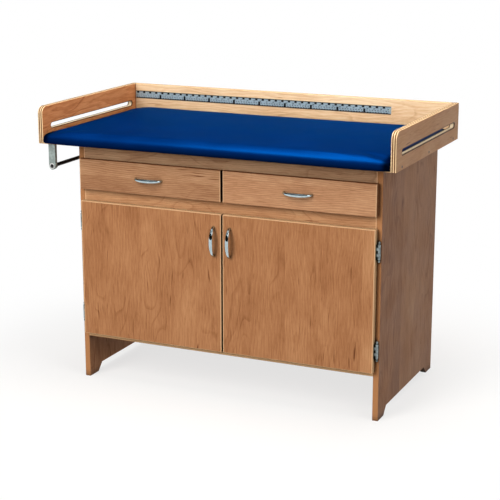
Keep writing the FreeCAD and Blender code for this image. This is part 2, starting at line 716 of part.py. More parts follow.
def drawers():
    front = "layout.drawer_front_left"
    pull_x, pull_z = "layout.drawer_pull_x", "layout.drawer_pull_z"
    feet = [f"{pull_x} {sign} layout.pull_half" for sign in "+-"]
    holes = [(f"{foot} - {front}", f"{pull_z} - layout.drawer_front_rise") for foot in feet]
    both_hands("drawer_front", front_board(
        "left_drawer_front", front, "layout.drawer_front_rise", "layout.drawer_front_width",
        "sizes.drawer_front_height", holes))
    side = box_board("left_drawer_side", "layout.box_left", "layout.fronts_rear", "XZ_Plane",
                     "sizes.box_depth", "+")
    other = mirror("left_drawer_other_side", side, "x", "layout.bay_centre")
    both_hands("drawer_sides", group("left_drawer_sides", [side, other]))
    inner_left = "layout.box_left + sizes.box_wall"
    fore = box_board("left_drawer_fore_end", inner_left, "layout.fronts_rear", "YZ_Plane",
                     "layout.box_inner_width", "+")
    drill(fore, [(f"{foot} - ({inner_left})", f"{pull_z} - layout.box_under") for foot in feet])
    aft = box_board("left_drawer_aft_end", inner_left, "layout.fronts_rear + sizes.box_depth", "YZ_Plane",
                    "layout.box_inner_width", "-")
    both_hands("drawer_ends", group("left_drawer_ends", [fore, aft]))
    lap = "(sizes.box_groove_depth - sizes.box_groove_fit)"
    bottom = board("left_drawer_bottom", f"{inner_left} - {lap}",
                   f"layout.fronts_rear + sizes.box_wall - {lap}",
                   "layout.box_under + sizes.box_bottom_lift", "XY_Plane",
                   f"layout.box_inner_width + 2 * {lap}", f"layout.box_inner_depth + 2 * {lap}",
                   "sizes.box_bottom_thickness")
    both_hands("drawer_bottom", bottom)
    both_hands("drawer_pull", bow_pull("left_drawer_pull", pull_x, pull_z, upright=False))
    screws = pull_screws("left_drawer_pull_screws", f"{pull_x} + layout.pull_half", pull_z,
                         "layout.fronts_rear + sizes.box_wall", "X_Axis")
    both_hands("drawer_pull_screws", screws)


def slide_member(name, corners):
    body = new_body(name, "layout.inner_left", "layout.slide_front", "layout.opening_middle")
    section = new_sketch(body, "XZ_Plane")
    draw_polygon(section, corners)
    pad(body, section, "sizes.slide_length", flipped=True)
    twin = mirror(name + "_twin", body, "x", "layout.bay_centre")
    return group(name + "s", [body, twin])


def channel(web, lip, half, turned):
    # A channel section: its web stands at one side and its two lips reach to the other.
    gauge = "sizes.slide_gauge"
    inside = f"{web} - {gauge}" if turned else f"{web} + {gauge}"
    low, high = f"-{half} + {gauge}", f"{half} - {gauge}"
    return [(web, f"-{half}"), (lip, f"-{half}"), (lip, low), (inside, low),
            (inside, high), (lip, high), (lip, half), (web, half)]


def slides():
    gauge, gap, width = "sizes.slide_gauge", "sizes.slide_run_gap", "sizes.slide_width"
    both_hands("slide_cabinet_members", slide_member(
        "left_slide_cabinet_member",
        channel("0", f"{width} - 2 * {gauge}", "layout.slide_half", turned=False)))
    both_hands("slide_middle_members", slide_member(
        "left_slide_middle_member",
        channel(f"{gauge} + 2 * {gap}", f"{width} - {gauge} - 2 * {gap}", "layout.slide_middle_half",
                turned=False)))
    both_hands("slide_drawer_members", slide_member(
        "left_slide_drawer_member",
        channel(width, f"2 * {gauge} + 4 * {gap}", "layout.slide_drawer_half", turned=True)))


def doors():
    pull_x, pull_z = "layout.door_pull_x", "layout.door_pull_z"
    feet = [f"{pull_z} {sign} layout.pull_half" for sign in "+-"]
    holes = [(f"{pull_x} - layout.door_left", f"{foot} - layout.door_rise") for foot in feet]
    both_hands("door", front_board("left_door", "layout.door_left", "layout.door_rise", "layout.door_width",
                                   "layout.door_height", holes))
    both_hands("door_pull", bow_pull("left_door_pull", pull_x, pull_z, upright=True))
    screws = pull_screws("left_door_pull_screws", pull_x, f"{pull_z} - layout.pull_half",
                         "layout.fronts_rear", "Z_Axis")
    both_hands("door_pull_screws", screws)
    catch_top = "layout.mid_rail_rise"
    strike = board("left_strike_plate",
                   "layout.door_left + layout.door_width - sizes.strike_margin - sizes.strike_width",
                   "layout.fronts_rear", f"{catch_top} - (sizes.catch_height + sizes.strike_height) / 2",
                   "XZ_Plane", "sizes.strike_width", "sizes.strike_height", "sizes.strike_thickness")
    both_hands("strike_plate", strike)
    catch_face = "layout.fronts_rear + sizes.strike_thickness + sizes.catch_gap"
    catch = board("magnetic_catch", "layout.cabinet_centre - sizes.catch_width / 2", catch_face,
                  f"{catch_top} - sizes.catch_height", "XY_Plane", "sizes.catch_width", "sizes.catch_depth",
                  "sizes.catch_height")
    round_edges(catch, catch.Tip, "sizes.catch_edge_round",
                lambda box: same(box.XLength, 0) and same(box.YLength, 0) and box.YMin > CLEAR)
    node(catch, "magnetic_catch")


def hinge_leaf(name, plate, lug, first, count):
    # A leaf bent round two faces. A lug joins it to every second knuckle of the barrel.
    body = new_body(name, "layout.hinge_x", "layout.hinge_y", "layout.hinge_z")
    plan = new_sketch(body, "XY_Plane")
    draw_polygon(plan, plate)
    pad(body, plan, "sizes.hinge_height")
    start = f"{first} * layout.knuckle_pitch"
    for draw, shape in ((draw_rectangle, lug), (draw_circle, ("0", "0", "sizes.hinge_barrel_diameter"))):
        sketch = new_sketch(body, "XY_Plane", start)
        draw(sketch, *shape)
        knuckle = pad(body, sketch, "layout.knuckle_height")
        repeat(body, knuckle, "Z_Axis", "2 * layout.knuckle_pitch", count)
    bore = new_sketch(body, "XY_Plane")
    draw_circle(bore, "0", "0", "sizes.hinge_pin_diameter + 2 * sizes.pin_fit")
    body.Tip = pocket(body, bore, flipped=True)
    lower = mirror(name + "_lower", body, "z", "layout.door_middle")
    return group(name + "_pair", [body, lower])


def hinges():
    gauge, reach, wrap = "sizes.hinge_leaf_gauge", "sizes.hinge_leaf_reach", "sizes.hinge_edge_wrap"
    face, inside, start = "layout.panel_face", "layout.panel_inside", "layout.leaf_start"
    frame_plate = [(start, f"{face} - {gauge}"), (f"{inside} + {gauge}", f"{face} - {gauge}"),
                   (f"{inside} + {gauge}", f"{face} + {reach}"), (inside, f"{face} + {reach}"),
                   (inside, face), (start, face)]
    frame_lug = ("0", f"{face} - {gauge}", start, face)
    both_hands("hinge_frame_leaves", hinge_leaf("left_hinge_frame_leaf", frame_plate, frame_lug, 0,
                                                int(sizes.hinge_knuckles + 1) // 2))
    edge, back = "layout.door_edge", "layout.door_back"
    door_plate = [(f"{edge} - {gauge}", f"{back} - {wrap}"), (edge, f"{back} - {wrap}"), (edge, back),
                  (f"{edge} + {reach}", back), (f"{edge} + {reach}", f"{back} + {gauge}"),
                  (f"{edge} - {gauge}", f"{back} + {gauge}")]
    door_lug = ("0", "-layout.barrel_radius", f"{edge} - {gauge}", f"{gauge} - layout.barrel_radius")
    both_hands("hinge_door_leaves", hinge_leaf("left_hinge_door_leaf", door_plate, door_lug, 1,
                                               int(sizes.hinge_knuckles) // 2))
    both_hands("hinge_pins", hinge_pins())


def hinge_pins():
    # A pin through the barrel, with a necked ball at each end.
    ball = "sizes.hinge_tip_diameter / 2"
    neck = "sizes.hinge_tip_neck"
    shaft = doc.addObject("Part::Cylinder", "left_hinge_pin_shaft")
    shaft.setExpression("Radius", "sizes.hinge_pin_diameter / 2")
    shaft.setExpression("Height", f"sizes.hinge_height + 2 * {neck} + {ball}")
    pieces = [(shaft, f"layout.hinge_z - {neck} - {ball} / 2")]
    foot = f"layout.hinge_z - {neck} - {ball}"
    head = f"layout.hinge_z + sizes.hinge_height + {neck} + {ball}"
    for end in (foot, head):
        tip = doc.addObject("Part::Sphere", "left_hinge_pin_tip")
        tip.setExpression("Radius", ball)
        pieces.append((tip, end))
    for item, height in pieces:
        item.setExpression("Placement.Base.x", "layout.hinge_x")
        item.setExpression("Placement.Base.y", "layout.hinge_y")
        item.setExpression("Placement.Base.z", height)
    pin = doc.addObject("Part::MultiFuse", "left_hinge_pin")
    pin.Shapes = [item for item, height in pieces]
    lower = mirror("left_hinge_pin_lower", pin, "z", "layout.door_middle")
    return group("left_hinge_pin_pair", [pin, lower])


def paper_holder():
    bracket = new_body("front_paper_bracket", "layout.rod_x", "layout.bracket_front", "layout.rod_z")
    half, gauge, flange = "sizes.bracket_width / 2", "sizes.bracket_gauge", "sizes.bracket_flange"
    for draw, shape in ((draw_rectangle, (f"-{half}", "0", half, "sizes.rod_drop")),
                        (draw_circle, ("0", "0", "sizes.bracket_width"))):
        outline = new_sketch(bracket, "XZ_Plane")
        draw(outline, *shape)
        pad(bracket, outline, flange, flipped=True)
    inner = f"({half} - {gauge})"
    for draw, shape in ((draw_rectangle, (f"-{inner}", "0", inner, f"sizes.rod_drop - {gauge}")),
                        (draw_circle, ("0", "0", f"2 * {inner}"))):
        hollow = new_sketch(bracket, "XZ_Plane", f"-{flange}")
        draw(hollow, *shape)
        pocket(bracket, hollow, f"{flange} - {gauge}", flipped=True)
    hole = new_sketch(bracket, "XZ_Plane")
    draw_circle(hole, "0", "0", "sizes.rod_diameter + 2 * sizes.rod_fit")
    pocket(bracket, hole)
    tab = new_sketch(bracket, "XY_Plane", f"sizes.rod_drop - {gauge}")
    draw_rectangle(tab, f"-{half}", f"{flange} - {gauge}", half, "sizes.bracket_tab")
    for side in ("", "-"):
        draw_circle(tab, f"{side}sizes.bracket_screw_clear", "layout.bracket_screw_y",
                    "sizes.bracket_screw_diameter + sizes.screw_fit")
    pad(bracket, tab, gauge)
    node(bracket, "front_paper_bracket")
    node(mirror("rear_paper_bracket", bracket, "y", "layout.bracket_middle"), "rear_paper_bracket")
    bracket_screws()
    paper_rod()


def bracket_screws():
    body, turned = screw("front_bracket_screws", "layout.rod_x - sizes.bracket_screw_clear",
                         "layout.bracket_front + layout.bracket_screw_y",
                         "layout.deck_under - sizes.bracket_gauge", "sizes.bracket_screw_diameter",
                         "sizes.bracket_screw_head", "sizes.bracket_screw_head_height",
                         "sizes.bracket_screw_length", flat_head=False)
    body.Placement.Rotation = FreeCAD.Rotation(FreeCAD.Vector(1, 0, 0), 90)
    repeat(body, turned, "X_Axis", "2 * sizes.bracket_screw_clear", 2)
    twin = mirror("rear_bracket_screws", body, "y", "layout.bracket_middle")
    node(group("bracket_screws", [body, twin]), "bracket_screws")


def paper_rod():
    length = "sizes.bracket_spread + 2 * sizes.rod_overhang"
    rod = new_body("paper_rod", "layout.rod_x", "layout.bracket_front - sizes.rod_overhang", "layout.rod_z")
    section = new_sketch(rod, "XZ_Plane")
    draw_circle(section, "0", "0", "sizes.rod_diameter")
    bar = pad(rod, section, length, flipped=True)
    round_edges(rod, bar, "sizes.rod_end_round", lambda box: same(box.YLength, 0))
    node(rod, "paper_rod")
    collar = new_body("front_rod_collar", "layout.rod_x",
                      "layout.bracket_front + sizes.bracket_flange + sizes.rod_fit", "layout.rod_z")
    ring = new_sketch(collar, "XZ_Plane")
    draw_circle(ring, "0", "0", "sizes.collar_diameter")
    draw_circle(ring, "0", "0", "sizes.rod_diameter + 2 * sizes.pin_fit")
    pad(collar, ring, "sizes.collar_length", flipped=True)
    twin = mirror("rear_rod_collar", collar, "y", "layout.bracket_middle")
    node(group("rod_collars", [collar, twin]), "rod_collars")


end_panels()
carcass()
shelf()
deck()
side_guards()
back_guard()
guard_screws()
pad_cushion()
drawers()
slides()
doors()
hinges()
paper_holder()
doc.recompute()

for item in doc.Objects:
    if "Invalid" in item.State or "Error" in item.State:
        raise RuntimeError(f"{item.Name} failed: {item.State}")
for item in nodes:
    if item.Shape.isNull() or not item.Shape.isValid():
        raise RuntimeError(f"{item.Label} has no valid shape")

os.makedirs("parts", exist_ok=True)
for item in nodes:
    item.Shape.exportStep(f"parts/{item.Label}.step")
print(len(nodes), "sub-parts written")
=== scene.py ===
import math
import bmesh
import bpy
from mathutils import Color, Euler, Matrix, Vector


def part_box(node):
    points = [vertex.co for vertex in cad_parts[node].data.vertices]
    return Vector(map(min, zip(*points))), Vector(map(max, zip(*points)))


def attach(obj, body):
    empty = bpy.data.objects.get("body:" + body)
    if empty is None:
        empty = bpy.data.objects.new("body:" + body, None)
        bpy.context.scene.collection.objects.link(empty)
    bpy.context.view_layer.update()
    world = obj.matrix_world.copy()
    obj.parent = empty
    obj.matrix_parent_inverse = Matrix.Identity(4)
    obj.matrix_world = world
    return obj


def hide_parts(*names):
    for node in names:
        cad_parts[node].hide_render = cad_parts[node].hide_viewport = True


# Pediatric examination table: finishes, cushion, rule print and fasteners around the fixed frame.
# Metres, or millimetres where a number is taken times mm. X runs to the right, Y to the rear, Z up.

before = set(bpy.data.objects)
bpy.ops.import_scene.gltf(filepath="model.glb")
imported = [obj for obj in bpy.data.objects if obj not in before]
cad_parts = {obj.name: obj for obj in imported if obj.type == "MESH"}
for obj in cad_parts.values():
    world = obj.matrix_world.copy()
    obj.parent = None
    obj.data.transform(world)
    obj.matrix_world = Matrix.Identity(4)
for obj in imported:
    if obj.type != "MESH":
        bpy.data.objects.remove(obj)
for spare in ("Cube", "Light", "Camera"):
    if spare in bpy.data.objects:
        bpy.data.objects.remove(bpy.data.objects[spare])
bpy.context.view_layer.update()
mm = 0.001
print("frame loaded:", len(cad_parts), "nodes")


# Small helpers for node trees and meshes

def paint(*seen):
    # a colour as it is seen on screen, 0 to 255, turned into the linear one that shaders want
    return (*Color([value / 255 for value in seen]).from_srgb_to_scene_linear(), 1)


def feed(tree, socket, value):
    if isinstance(value, bpy.types.NodeSocket):
        tree.links.new(value, socket)
    elif value is not None:
        socket.default_value = value


def make(tree, kind, *values, **settings):
    # a shader node with its first inputs fed in their order
    node = tree.nodes.new("ShaderNode" + kind)
    for label, value in settings.items():
        setattr(node, label, value)
    for socket, value in zip(node.inputs, values):
        feed(tree, socket, value)
    return node.outputs


def calc(tree, operation, *values, clamp=False):
    return make(tree, "Math", *values, operation=operation, use_clamp=clamp)[0]


def remap(tree, value, low, high, newLow=0.0, newHigh=1.0, style="SMOOTHSTEP"):
    return make(tree, "MapRange", value, low, high, newLow, newHigh, interpolation_type=style)["Result"]


def combine(tree, x, y, z):
    return make(tree, "CombineXYZ", x, y, z)[0]


def separate(tree, vector):
    return dict(zip("xyz", make(tree, "SeparateXYZ", vector)))


def stretch(tree, place, x, y, z):
    # x and z of a split vector, each times its own factor, with another value for y
    return combine(tree, calc(tree, "MULTIPLY", place["x"], x), y, calc(tree, "MULTIPLY", place["z"], z))


def cloud(tree, vector, scale, detail=2.0, roughness=0.5):
    return make(tree, "TexNoise", vector, None, scale, detail, roughness)["Fac"]


def ramp(tree, value, stops):
    node = tree.nodes.new("ShaderNodeValToRGB")
    elements = node.color_ramp.elements
    while len(elements) < len(stops):
        elements.new(0.5)
    for element, (place, colour) in zip(elements, stops):
        element.position = place
        element.color = paint(*colour)
    feed(tree, node.inputs[0], value)
    return node.outputs["Color"]


def mixColour(tree, amount, first, second, style="MIX"):
    node = tree.nodes.new("ShaderNodeMix")
    node.data_type = "RGBA"
    node.blend_type = style
    feed(tree, node.inputs["Factor"], amount)
    feed(tree, node.inputs[6], first)  # its sockets for colours have no names of their own
    feed(tree, node.inputs[7], second)
    return node.outputs[2]


def bump(tree, height, strength, distance):
    node = tree.nodes.new("ShaderNodeBump")
    node.inputs["Strength"].default_value = strength
    node.inputs["Distance"].default_value = distance
    feed(tree, node.inputs["Height"], height)
    return node.outputs["Normal"]


def newGroup(name, inputs, outputs):
    group = bpy.data.node_groups.new(name, "ShaderNodeTree")
    for label in inputs:
        kind = "NodeSocketVector" if label == "Vector" else "NodeSocketFloat"
        group.interface.new_socket(label, in_out="INPUT", socket_type=kind)
    for label in outputs:
        group.interface.new_socket(label, in_out="OUTPUT", socket_type="NodeSocketFloat")
    start = group.nodes.new("NodeGroupInput").outputs
    end = group.nodes.new("NodeGroupOutput").inputs
    return group, start, end


def useGroup(tree, group, **values):
    node = tree.nodes.new("ShaderNodeGroup")
    node.node_tree = group
    for label, value in values.items():
        feed(tree, node.inputs[label], value)
    return node.outputs


def newMaterial(name, **sockets):
    material = bpy.data.materials.new(name)
    material.use_nodes = True
    tree = material.node_tree
    shader = tree.nodes["Principled BSDF"]
    for label, value in sockets.items():
        shader.inputs[label.replace("_", " ")].default_value = value
    return material, tree, shader.inputs


def objectCoords(tree):
    return make(tree, "TexCoord")["Object"]


def hypot(tree, first, second):
    square = calc(tree, "MULTIPLY", second, second)
    return calc(tree, "SQRT", calc(tree, "MULTIPLY_ADD", first, first, square))


def addObject(name, data):
    added = bpy.data.objects.new(name, data)
    bpy.context.collection.objects.link(added)
    return added


def finalMesh(piece):
    # the piece's shape with its modifiers worked in
    return bpy.data.meshes.new_from_object(piece.evaluated_get(bpy.context.evaluated_depsgraph_get()))


def newMesh(name, shape):
    mesh = bpy.data.meshes.new(name)
    shape.to_mesh(mesh)
    shape.free()
    return mesh


def dress(names, material):
    for name in names:
        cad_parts[name].material_slots[0].material = material


# Shader groups that several finishes share

veneer = {
    "heart": 0.03, "leafShift": 0.35, "ringWander": 2.2, "late": (0.1, 0.8),
    "waves": 11.0, "waveWander": 0.35, "outline": (0.72, 0.95), "shownEdge": (0.42, 0.58),
    # cells per metre, across and along the grain
    "sway": (9.0, 3.0), "wander": (30.0, 7.0), "wave": (8.5, 2.6), "shown": (8.0, 4.0),
    # cells per metre across the grain, their share along it, and how much they tell in the tone
    "fibre": (620.0, 0.035, 0.5), "stroke": (260.0, 0.07, 0.45), "pore": (900.0, 0.07, -0.12),
    "streak": (170.0, 0.06, -0.5), "patch": (13.0, 0.45, 0.44),
    "poreEdge": (0.6, 0.72), "poreDepth": -0.7, "streakEdge": (0.69, 0.8), "streakBend": 0.6,
    "leafTone": 0.16, "middleTone": 0.6,
}


def makeVeneerFigure():
    # Sliced veneer: X of the vector runs across the leaves, Z along the grain.
    group, start, end = newGroup(
        "veneerFigure",
        ["Vector", "Leaf", "Ring", "Taper", "Sway", "Seed", "Rings", "Contours", "Contrast"],
        ["Tone", "Height"])
    place = separate(group, start["Vector"])
    leafPlace = calc(group, "DIVIDE", place["x"], start["Leaf"])
    leafNumber = calc(group, "FLOOR", leafPlace)
    leafSeed = calc(group, "MULTIPLY_ADD", leafNumber, veneer["leafShift"], start["Seed"])

    def centred(value):
        return calc(group, "SUBTRACT", value, 0.5)

    def cells(kind, spot, detail=2.0):
        across, along = veneer[kind]
        return cloud(group, stretch(group, spot, across, leafSeed, along), 1.0, detail)

    def strands(kind, spot, detail, roughness=0.5):
        scale, share = veneer[kind][:2]
        return cloud(group, stretch(group, spot, 1.0, leafSeed, share), scale, detail, roughness)

    def tooth(value, foot, peak):
        # rises from its foot to its peak, and falls away by 1
        return calc(group, "MULTIPLY", remap(group, value, foot, peak),
                    remap(group, value, peak, 1.0, 1.0, 0.0))

    # growth rings of a tapering log cut beside its heart: arches in the middle, lines at the sides
    within = calc(group, "MULTIPLY", centred(calc(group, "FRACT", leafPlace)), start["Leaf"])
    leaf = {"x": within, "z": place["z"]}
    sway = calc(group, "MULTIPLY", centred(cells("sway", leaf)), start["Sway"])
    side = calc(group, "ADD", within, sway)
    radius = hypot(group, side, veneer["heart"])
    grown = calc(group, "SUBTRACT", radius, calc(group, "MULTIPLY", place["z"], start["Taper"]))
    wander = cells("wander", leaf, 3.0)
    phase = calc(group, "DIVIDE", grown, start["Ring"])
    phase = calc(group, "FRACT", calc(group, "MULTIPLY_ADD", wander, veneer["ringWander"], phase))
    late = tooth(phase, *veneer["late"])
    # thin dark outlines, closed ovals among them, where the knife met a slow wave of the log
    wave = calc(group, "MULTIPLY", cells("wave", leaf, 1.6), veneer["waves"])
    wave = calc(group, "FRACT", calc(group, "MULTIPLY_ADD", wander, veneer["waveWander"], wave))
    shown = remap(group, cells("shown", place), *veneer["shownEdge"])
    contour = calc(group, "MULTIPLY", tooth(wave, *veneer["outline"]), shown)
    # fibres, broken strokes, pores, long dark streaks and soft patches
    bent = {"x": calc(group, "MULTIPLY_ADD", sway, veneer["streakBend"], place["x"]), "z": place["z"]}
    fibre = centred(strands("fibre", place, 3.0, 0.6))
    pore = remap(group, strands("pore", place, 1.0), *veneer["poreEdge"])
    figure = {"fibre": fibre, "stroke": centred(strands("stroke", place, 3.0, 0.65)), "pore": pore,
              "streak": remap(group, strands("streak", bent, 1.0), *veneer["streakEdge"]),
              "patch": centred(strands("patch", place, 2.0))}
    leafTone = make(group, "TexWhiteNoise", None, leafSeed, noise_dimensions="1D")["Value"]
    tone = calc(group, "MULTIPLY", centred(leafTone), veneer["leafTone"])
    for kind, part in figure.items():
        tone = calc(group, "MULTIPLY_ADD", part, veneer[kind][2], tone)
    for part, label in ((late, "Rings"), (contour, "Contours")):
        tone = calc(group, "SUBTRACT", tone, calc(group, "MULTIPLY", part, start[label]))
    tone = calc(group, "MULTIPLY_ADD", tone, start["Contrast"], veneer["middleTone"], clamp=True)
    feed(group, end["Tone"], tone)
    feed(group, end["Height"], calc(group, "MULTIPLY_ADD", pore, veneer["poreDepth"], fibre))
    return group


plyGrain = {"along": 160.0, "deep": 2200.0, "tone": 0.75, "crossTone": -0.5, "grainTone": 0.4}


def makeBoardEdge():
    # Depth from the nearer face: the skin is face veneer, and what lies deeper shows on the cut edges.
    group, start, end = newGroup("boardEdge", ["Depth", "Along", "Skin", "Layer", "Glue", "Seed"],
                                 ["Core", "Tone", "Glue Line"])
    feed(group, end["Core"], calc(group, "GREATER_THAN", start["Depth"], start["Skin"]))
    layers = calc(group, "DIVIDE", calc(group, "SUBTRACT", start["Depth"], start["Skin"]), start["Layer"])
    number = calc(group, "FLOOR", layers)
    cross = calc(group, "MODULO", number, 2.0)
    spot = combine(group, calc(group, "MULTIPLY", start["Along"], plyGrain["along"]),
                   calc(group, "ADD", number, start["Seed"]),
                   calc(group, "MULTIPLY", start["Depth"], plyGrain["deep"]))
    grain = calc(group, "SUBTRACT", cloud(group, spot, 1.0, 3.0), 0.5)
    tone = calc(group, "MULTIPLY_ADD", cross, plyGrain["crossTone"], plyGrain["tone"])
    tone = calc(group, "MULTIPLY_ADD", grain, plyGrain["grainTone"], tone, clamp=True)
    feed(group, end["Tone"], tone)
    inLayer = calc(group, "MULTIPLY", calc(group, "PINGPONG", layers, 0.5), start["Layer"])
    feed(group, end["Glue Line"], calc(group, "LESS_THAN", inLayer, start["Glue"]))
    return group


wear = {"smearEdge": (0.35, 0.7), "mottle": 70.0, "mottleEdge": (0.35, 0.65)}


def makeHandling():
    # Soft smears and fine scratches that a used surface carries.
    group, start, end = newGroup("handling", ["Vector", "Smear", "Scratch"], ["Smears", "Scratches"])
    smears = cloud(group, start["Vector"], start["Smear"], 3.0)
    feed(group, end["Smears"], remap(group, smears, *wear["smearEdge"]))
    feed(group, end["Scratches"], cloud(group, start["Vector"], start["Scratch"], 4.0, 0.7))
    return group


def makeBrushed():
    # Drawn or rolled metal: fine lines along Z of the vector.
    group, start, end = newGroup("brushed", ["Vector", "Fineness", "Stretch"], ["Lines", "Mottle"])
    place = separate(group, start["Vector"])
    drawn = combine(group, place["x"], place["y"], calc(group, "MULTIPLY", place["z"], start["Stretch"]))
    feed(group, end["Lines"], cloud(group, drawn, start["Fineness"], 3.0, 0.6))
    mottle = cloud(group, start["Vector"], wear["mottle"], 3.0)
    feed(group, end["Mottle"], remap(group, mottle, *wear["mottleEdge"]))
    return group


veneerFigure = makeVeneerFigure()
boardEdge = makeBoardEdge()
handling = makeHandling()
brushed = makeBrushed()
print("shader groups made")


# Wood

strapSlot = {
    "middle": (12.5, 888.5), "half": (283.0, 9.0), "play": 0.4,
    # the dark line of painted shade round the mouths and the painted light on the slot's inner faces: from,
    # to and how much they cover
    "rimShade": (1.5, 3.0, 0.85), "bare": (3.5, 4.5, 0.95),
    "rimShadeColour": (66, 36, 20), "slotLightColour": (255, 238, 208),
}
# painted shade in gaps, corners and recesses, found by ambient occlusion: its reach in mm, the levels where
# it is full and where it ends, and how dark it gets
gapShadow = {"reach": 40.0, "dark": 0.3, "clear": 0.8, "depth": 0.96}
faceStops = (0.0, 0.4, 0.65, 1.0)  # where a wood's four face colours stand on its tone, dark to light
maple = {
    "face": [(118, 70, 42), (163, 108, 70), (184, 128, 87), (208, 156, 112)],
    "edge": [(0.0, (196, 138, 88)), (0.5, (232, 182, 130)), (1.0, (250, 214, 168))],
    "leaf": 0.2625, "ring": 0.0095, "taper": 0.03, "sway": 0.07,
    "rings": 0.08, "contours": 0.16, "contrast": 1.0,
    "skin": 0.9 * mm, "layer": 0.2, "glue": 0.0, "glueColour": (92, 50, 24), "glueDark": 0.8,
    "roughness": 0.44, "smear": 9.0, "smearRough": 0.08, "edgeRough": 0.12, "relief": (0.25, 0.15 * mm),
    # painted rim: its widths across and along the grain, colour, cover and soft share; a painted highlight
    # round a front's edges, or painted shade along a joint
    "paintedRim": (0.0, 0.0), "paintedRimColour": (246, 204, 160), "paintedRimCover": 0.85, "paintedRimSoft": 0.6,
    "gapShade": 1.0, "slot": None,
}
doorMaple = dict(
    # a painted highlight round the door's front edges
    maple, rings=0.07, contours=0.13, contrast=1.25, paintedRim=(3.6 * mm, 2.4 * mm),
    face=[(118, 70, 44), (174, 119, 80), (195, 140, 98), (218, 168, 124)])
endMaple = dict(
    maple, rings=0.14, contours=0.15, contrast=1.3,
    face=[(114, 71, 45), (157, 107, 72), (177, 127, 89), (199, 154, 113)],
    edge=[(0.0, (146, 92, 58)), (0.5, (182, 124, 82)), (1.0, (204, 148, 102))])
drawerMaple = dict(
    # a painted highlight on the front's upright edges
    doorMaple, ring=0.0062, sway=0.03, rings=0.15, contours=0.05, contrast=1.4, paintedRim=(0.0, 3.2 * mm),
    # cut edges coloured dark as painted shade under the cushion's overhang; the lighter drawer and the
    # rails take these edges over
    edge=[(0.0, (104, 64, 38)), (0.5, (132, 84, 52)), (1.0, (156, 104, 66))],
    face=[(126, 80, 52), (168, 121, 88), (188, 142, 106), (214, 172, 136)])
lightDrawerMaple = dict(
    drawerMaple, face=[(142, 96, 64), (190, 139, 103), (210, 161, 123), (234, 193, 155)])
railMaple = dict(
    lightDrawerMaple, gapShade=0.4, rings=0.1, contours=0.14,
    face=[(150, 100, 66), (196, 144, 104), (214, 165, 122), (236, 196, 156)])
# the rail maple made lighter as painted light, lifting the shade under the cushion's overhang
topRailLitMaple = dict(
    railMaple, face=[(150, 107, 76), (196, 154, 120), (214, 176, 140), (236, 207, 177)])
guardPly = dict(
    maple, gapShade=0.3, leaf=0.3, skin=0.8 * mm, layer=3.4 * mm, glue=0.15 * mm, slot=strapSlot,
    face=[(154, 104, 71), (197, 145, 104), (210, 162, 121), (225, 187, 151)],
    edge=[(0.0, (84, 42, 20)), (0.34, (112, 60, 30)), (0.6, (236, 200, 152)), (1.0, (252, 230, 192))])
innerGuardPly = dict(
    guardPly, rings=0.16, contours=0.24, contrast=1.2,
    face=[(148, 82, 46), (194, 124, 76), (212, 146, 96), (230, 174, 126)])
paleMaple = dict(
    # its painted rim is painted shade: a dark line at both ends, where the side guards meet it
    guardPly, gapShade=0.25, slot=None, paintedRim=(0.0, 3.5 * mm), paintedRimColour=(84, 46, 28),
    leaf=0.2, ring=0.012, taper=0.02, rings=0.14, contours=0.16, contrast=1.3,
    face=[(190, 146, 106), (223, 186, 145), (235, 206, 168), (247, 228, 196)],
    edge=[(0.0, (190, 142, 100)), (0.4, (216, 174, 128)), (1.0, (238, 208, 166))])
boxBirch = dict(
    guardPly, layer=1.4 * mm, skin=0.5 * mm, glue=0.18 * mm, slot=None,
    face=[(178, 134, 92), (208, 168, 122), (221, 185, 140), (234, 204, 164)])
backBoard = dict(
    maple, roughness=0.6,
    face=[(120, 78, 50), (156, 108, 73), (173, 125, 87), (190, 144, 104)])

# node: wood, the axes across the grain, through the board and along the grain, where the figure starts
boards = {
    "left_end_panel": (endMaple, "yxz", (0.11, 3.0, 0.31)),
    "right_end_panel": (endMaple, "yxz", (0.02, 7.3, 0.62)),
    "left_door": (doorMaple, "xyz", (0.0205, 1.0, 0.0)),
    "right_door": (doorMaple, "xyz", (0.0205, 1.0, 0.07)),
    "left_drawer_front": (drawerMaple, "zyx", (0.06, 4.1, 0.2)),
    "right_drawer_front": (lightDrawerMaple, "zyx", (0.03, 5.7, 0.55)),
    "top_rail": (topRailLitMaple, "zyx", (0.17, 8.3, 0.0)),
    "mid_rail": (railMaple, "zyx", (0.05, 9.6, 0.3)),
    "cabinet_floor": (maple, "yzx", (0.1, 10.2, 0.4)),
    "drawer_bay_floor": (maple, "yzx", (0.0, 11.9, 0.1)),
    "storage_shelf": (maple, "yzx", (0.07, 12.4, 0.8)),
    "drawer_divider": (maple, "yxz", (0.0, 13.8, 0.2)),
    "deck_cleats": (maple, "zxy", (0.0, 14.5, 0.5)),
    "deck_board": (backBoard, "yzx", (0.0, 15.1, 0.6)),
    "cabinet_back": (backBoard, "xyz", (0.0, 16.7, 0.9)),
    "left_guard": (innerGuardPly, "zxy", (0.12, 17.2, 0.1)),
    "right_guard": (guardPly, "zxy", (0.19, 18.6, 0.7)),
    "back_guard": (paleMaple, "zyx", (0.07, 19.3, 0.0)),
    "left_drawer_sides": (boxBirch, "zxy", (0.0, 20.4, 0.0)),
    "right_drawer_sides": (boxBirch, "zxy", (0.0, 21.9, 0.3)),
    "left_drawer_ends": (boxBirch, "zyx", (0.0, 22.1, 0.0)),
    "right_drawer_ends": (boxBirch, "zyx", (0.0, 23.7, 0.2)),
    "left_drawer_bottom": (boxBirch, "xzy", (0.0, 24.2, 0.0)),
    "right_drawer_bottom": (boxBirch, "xzy", (0.0, 25.8, 0.4)),
}


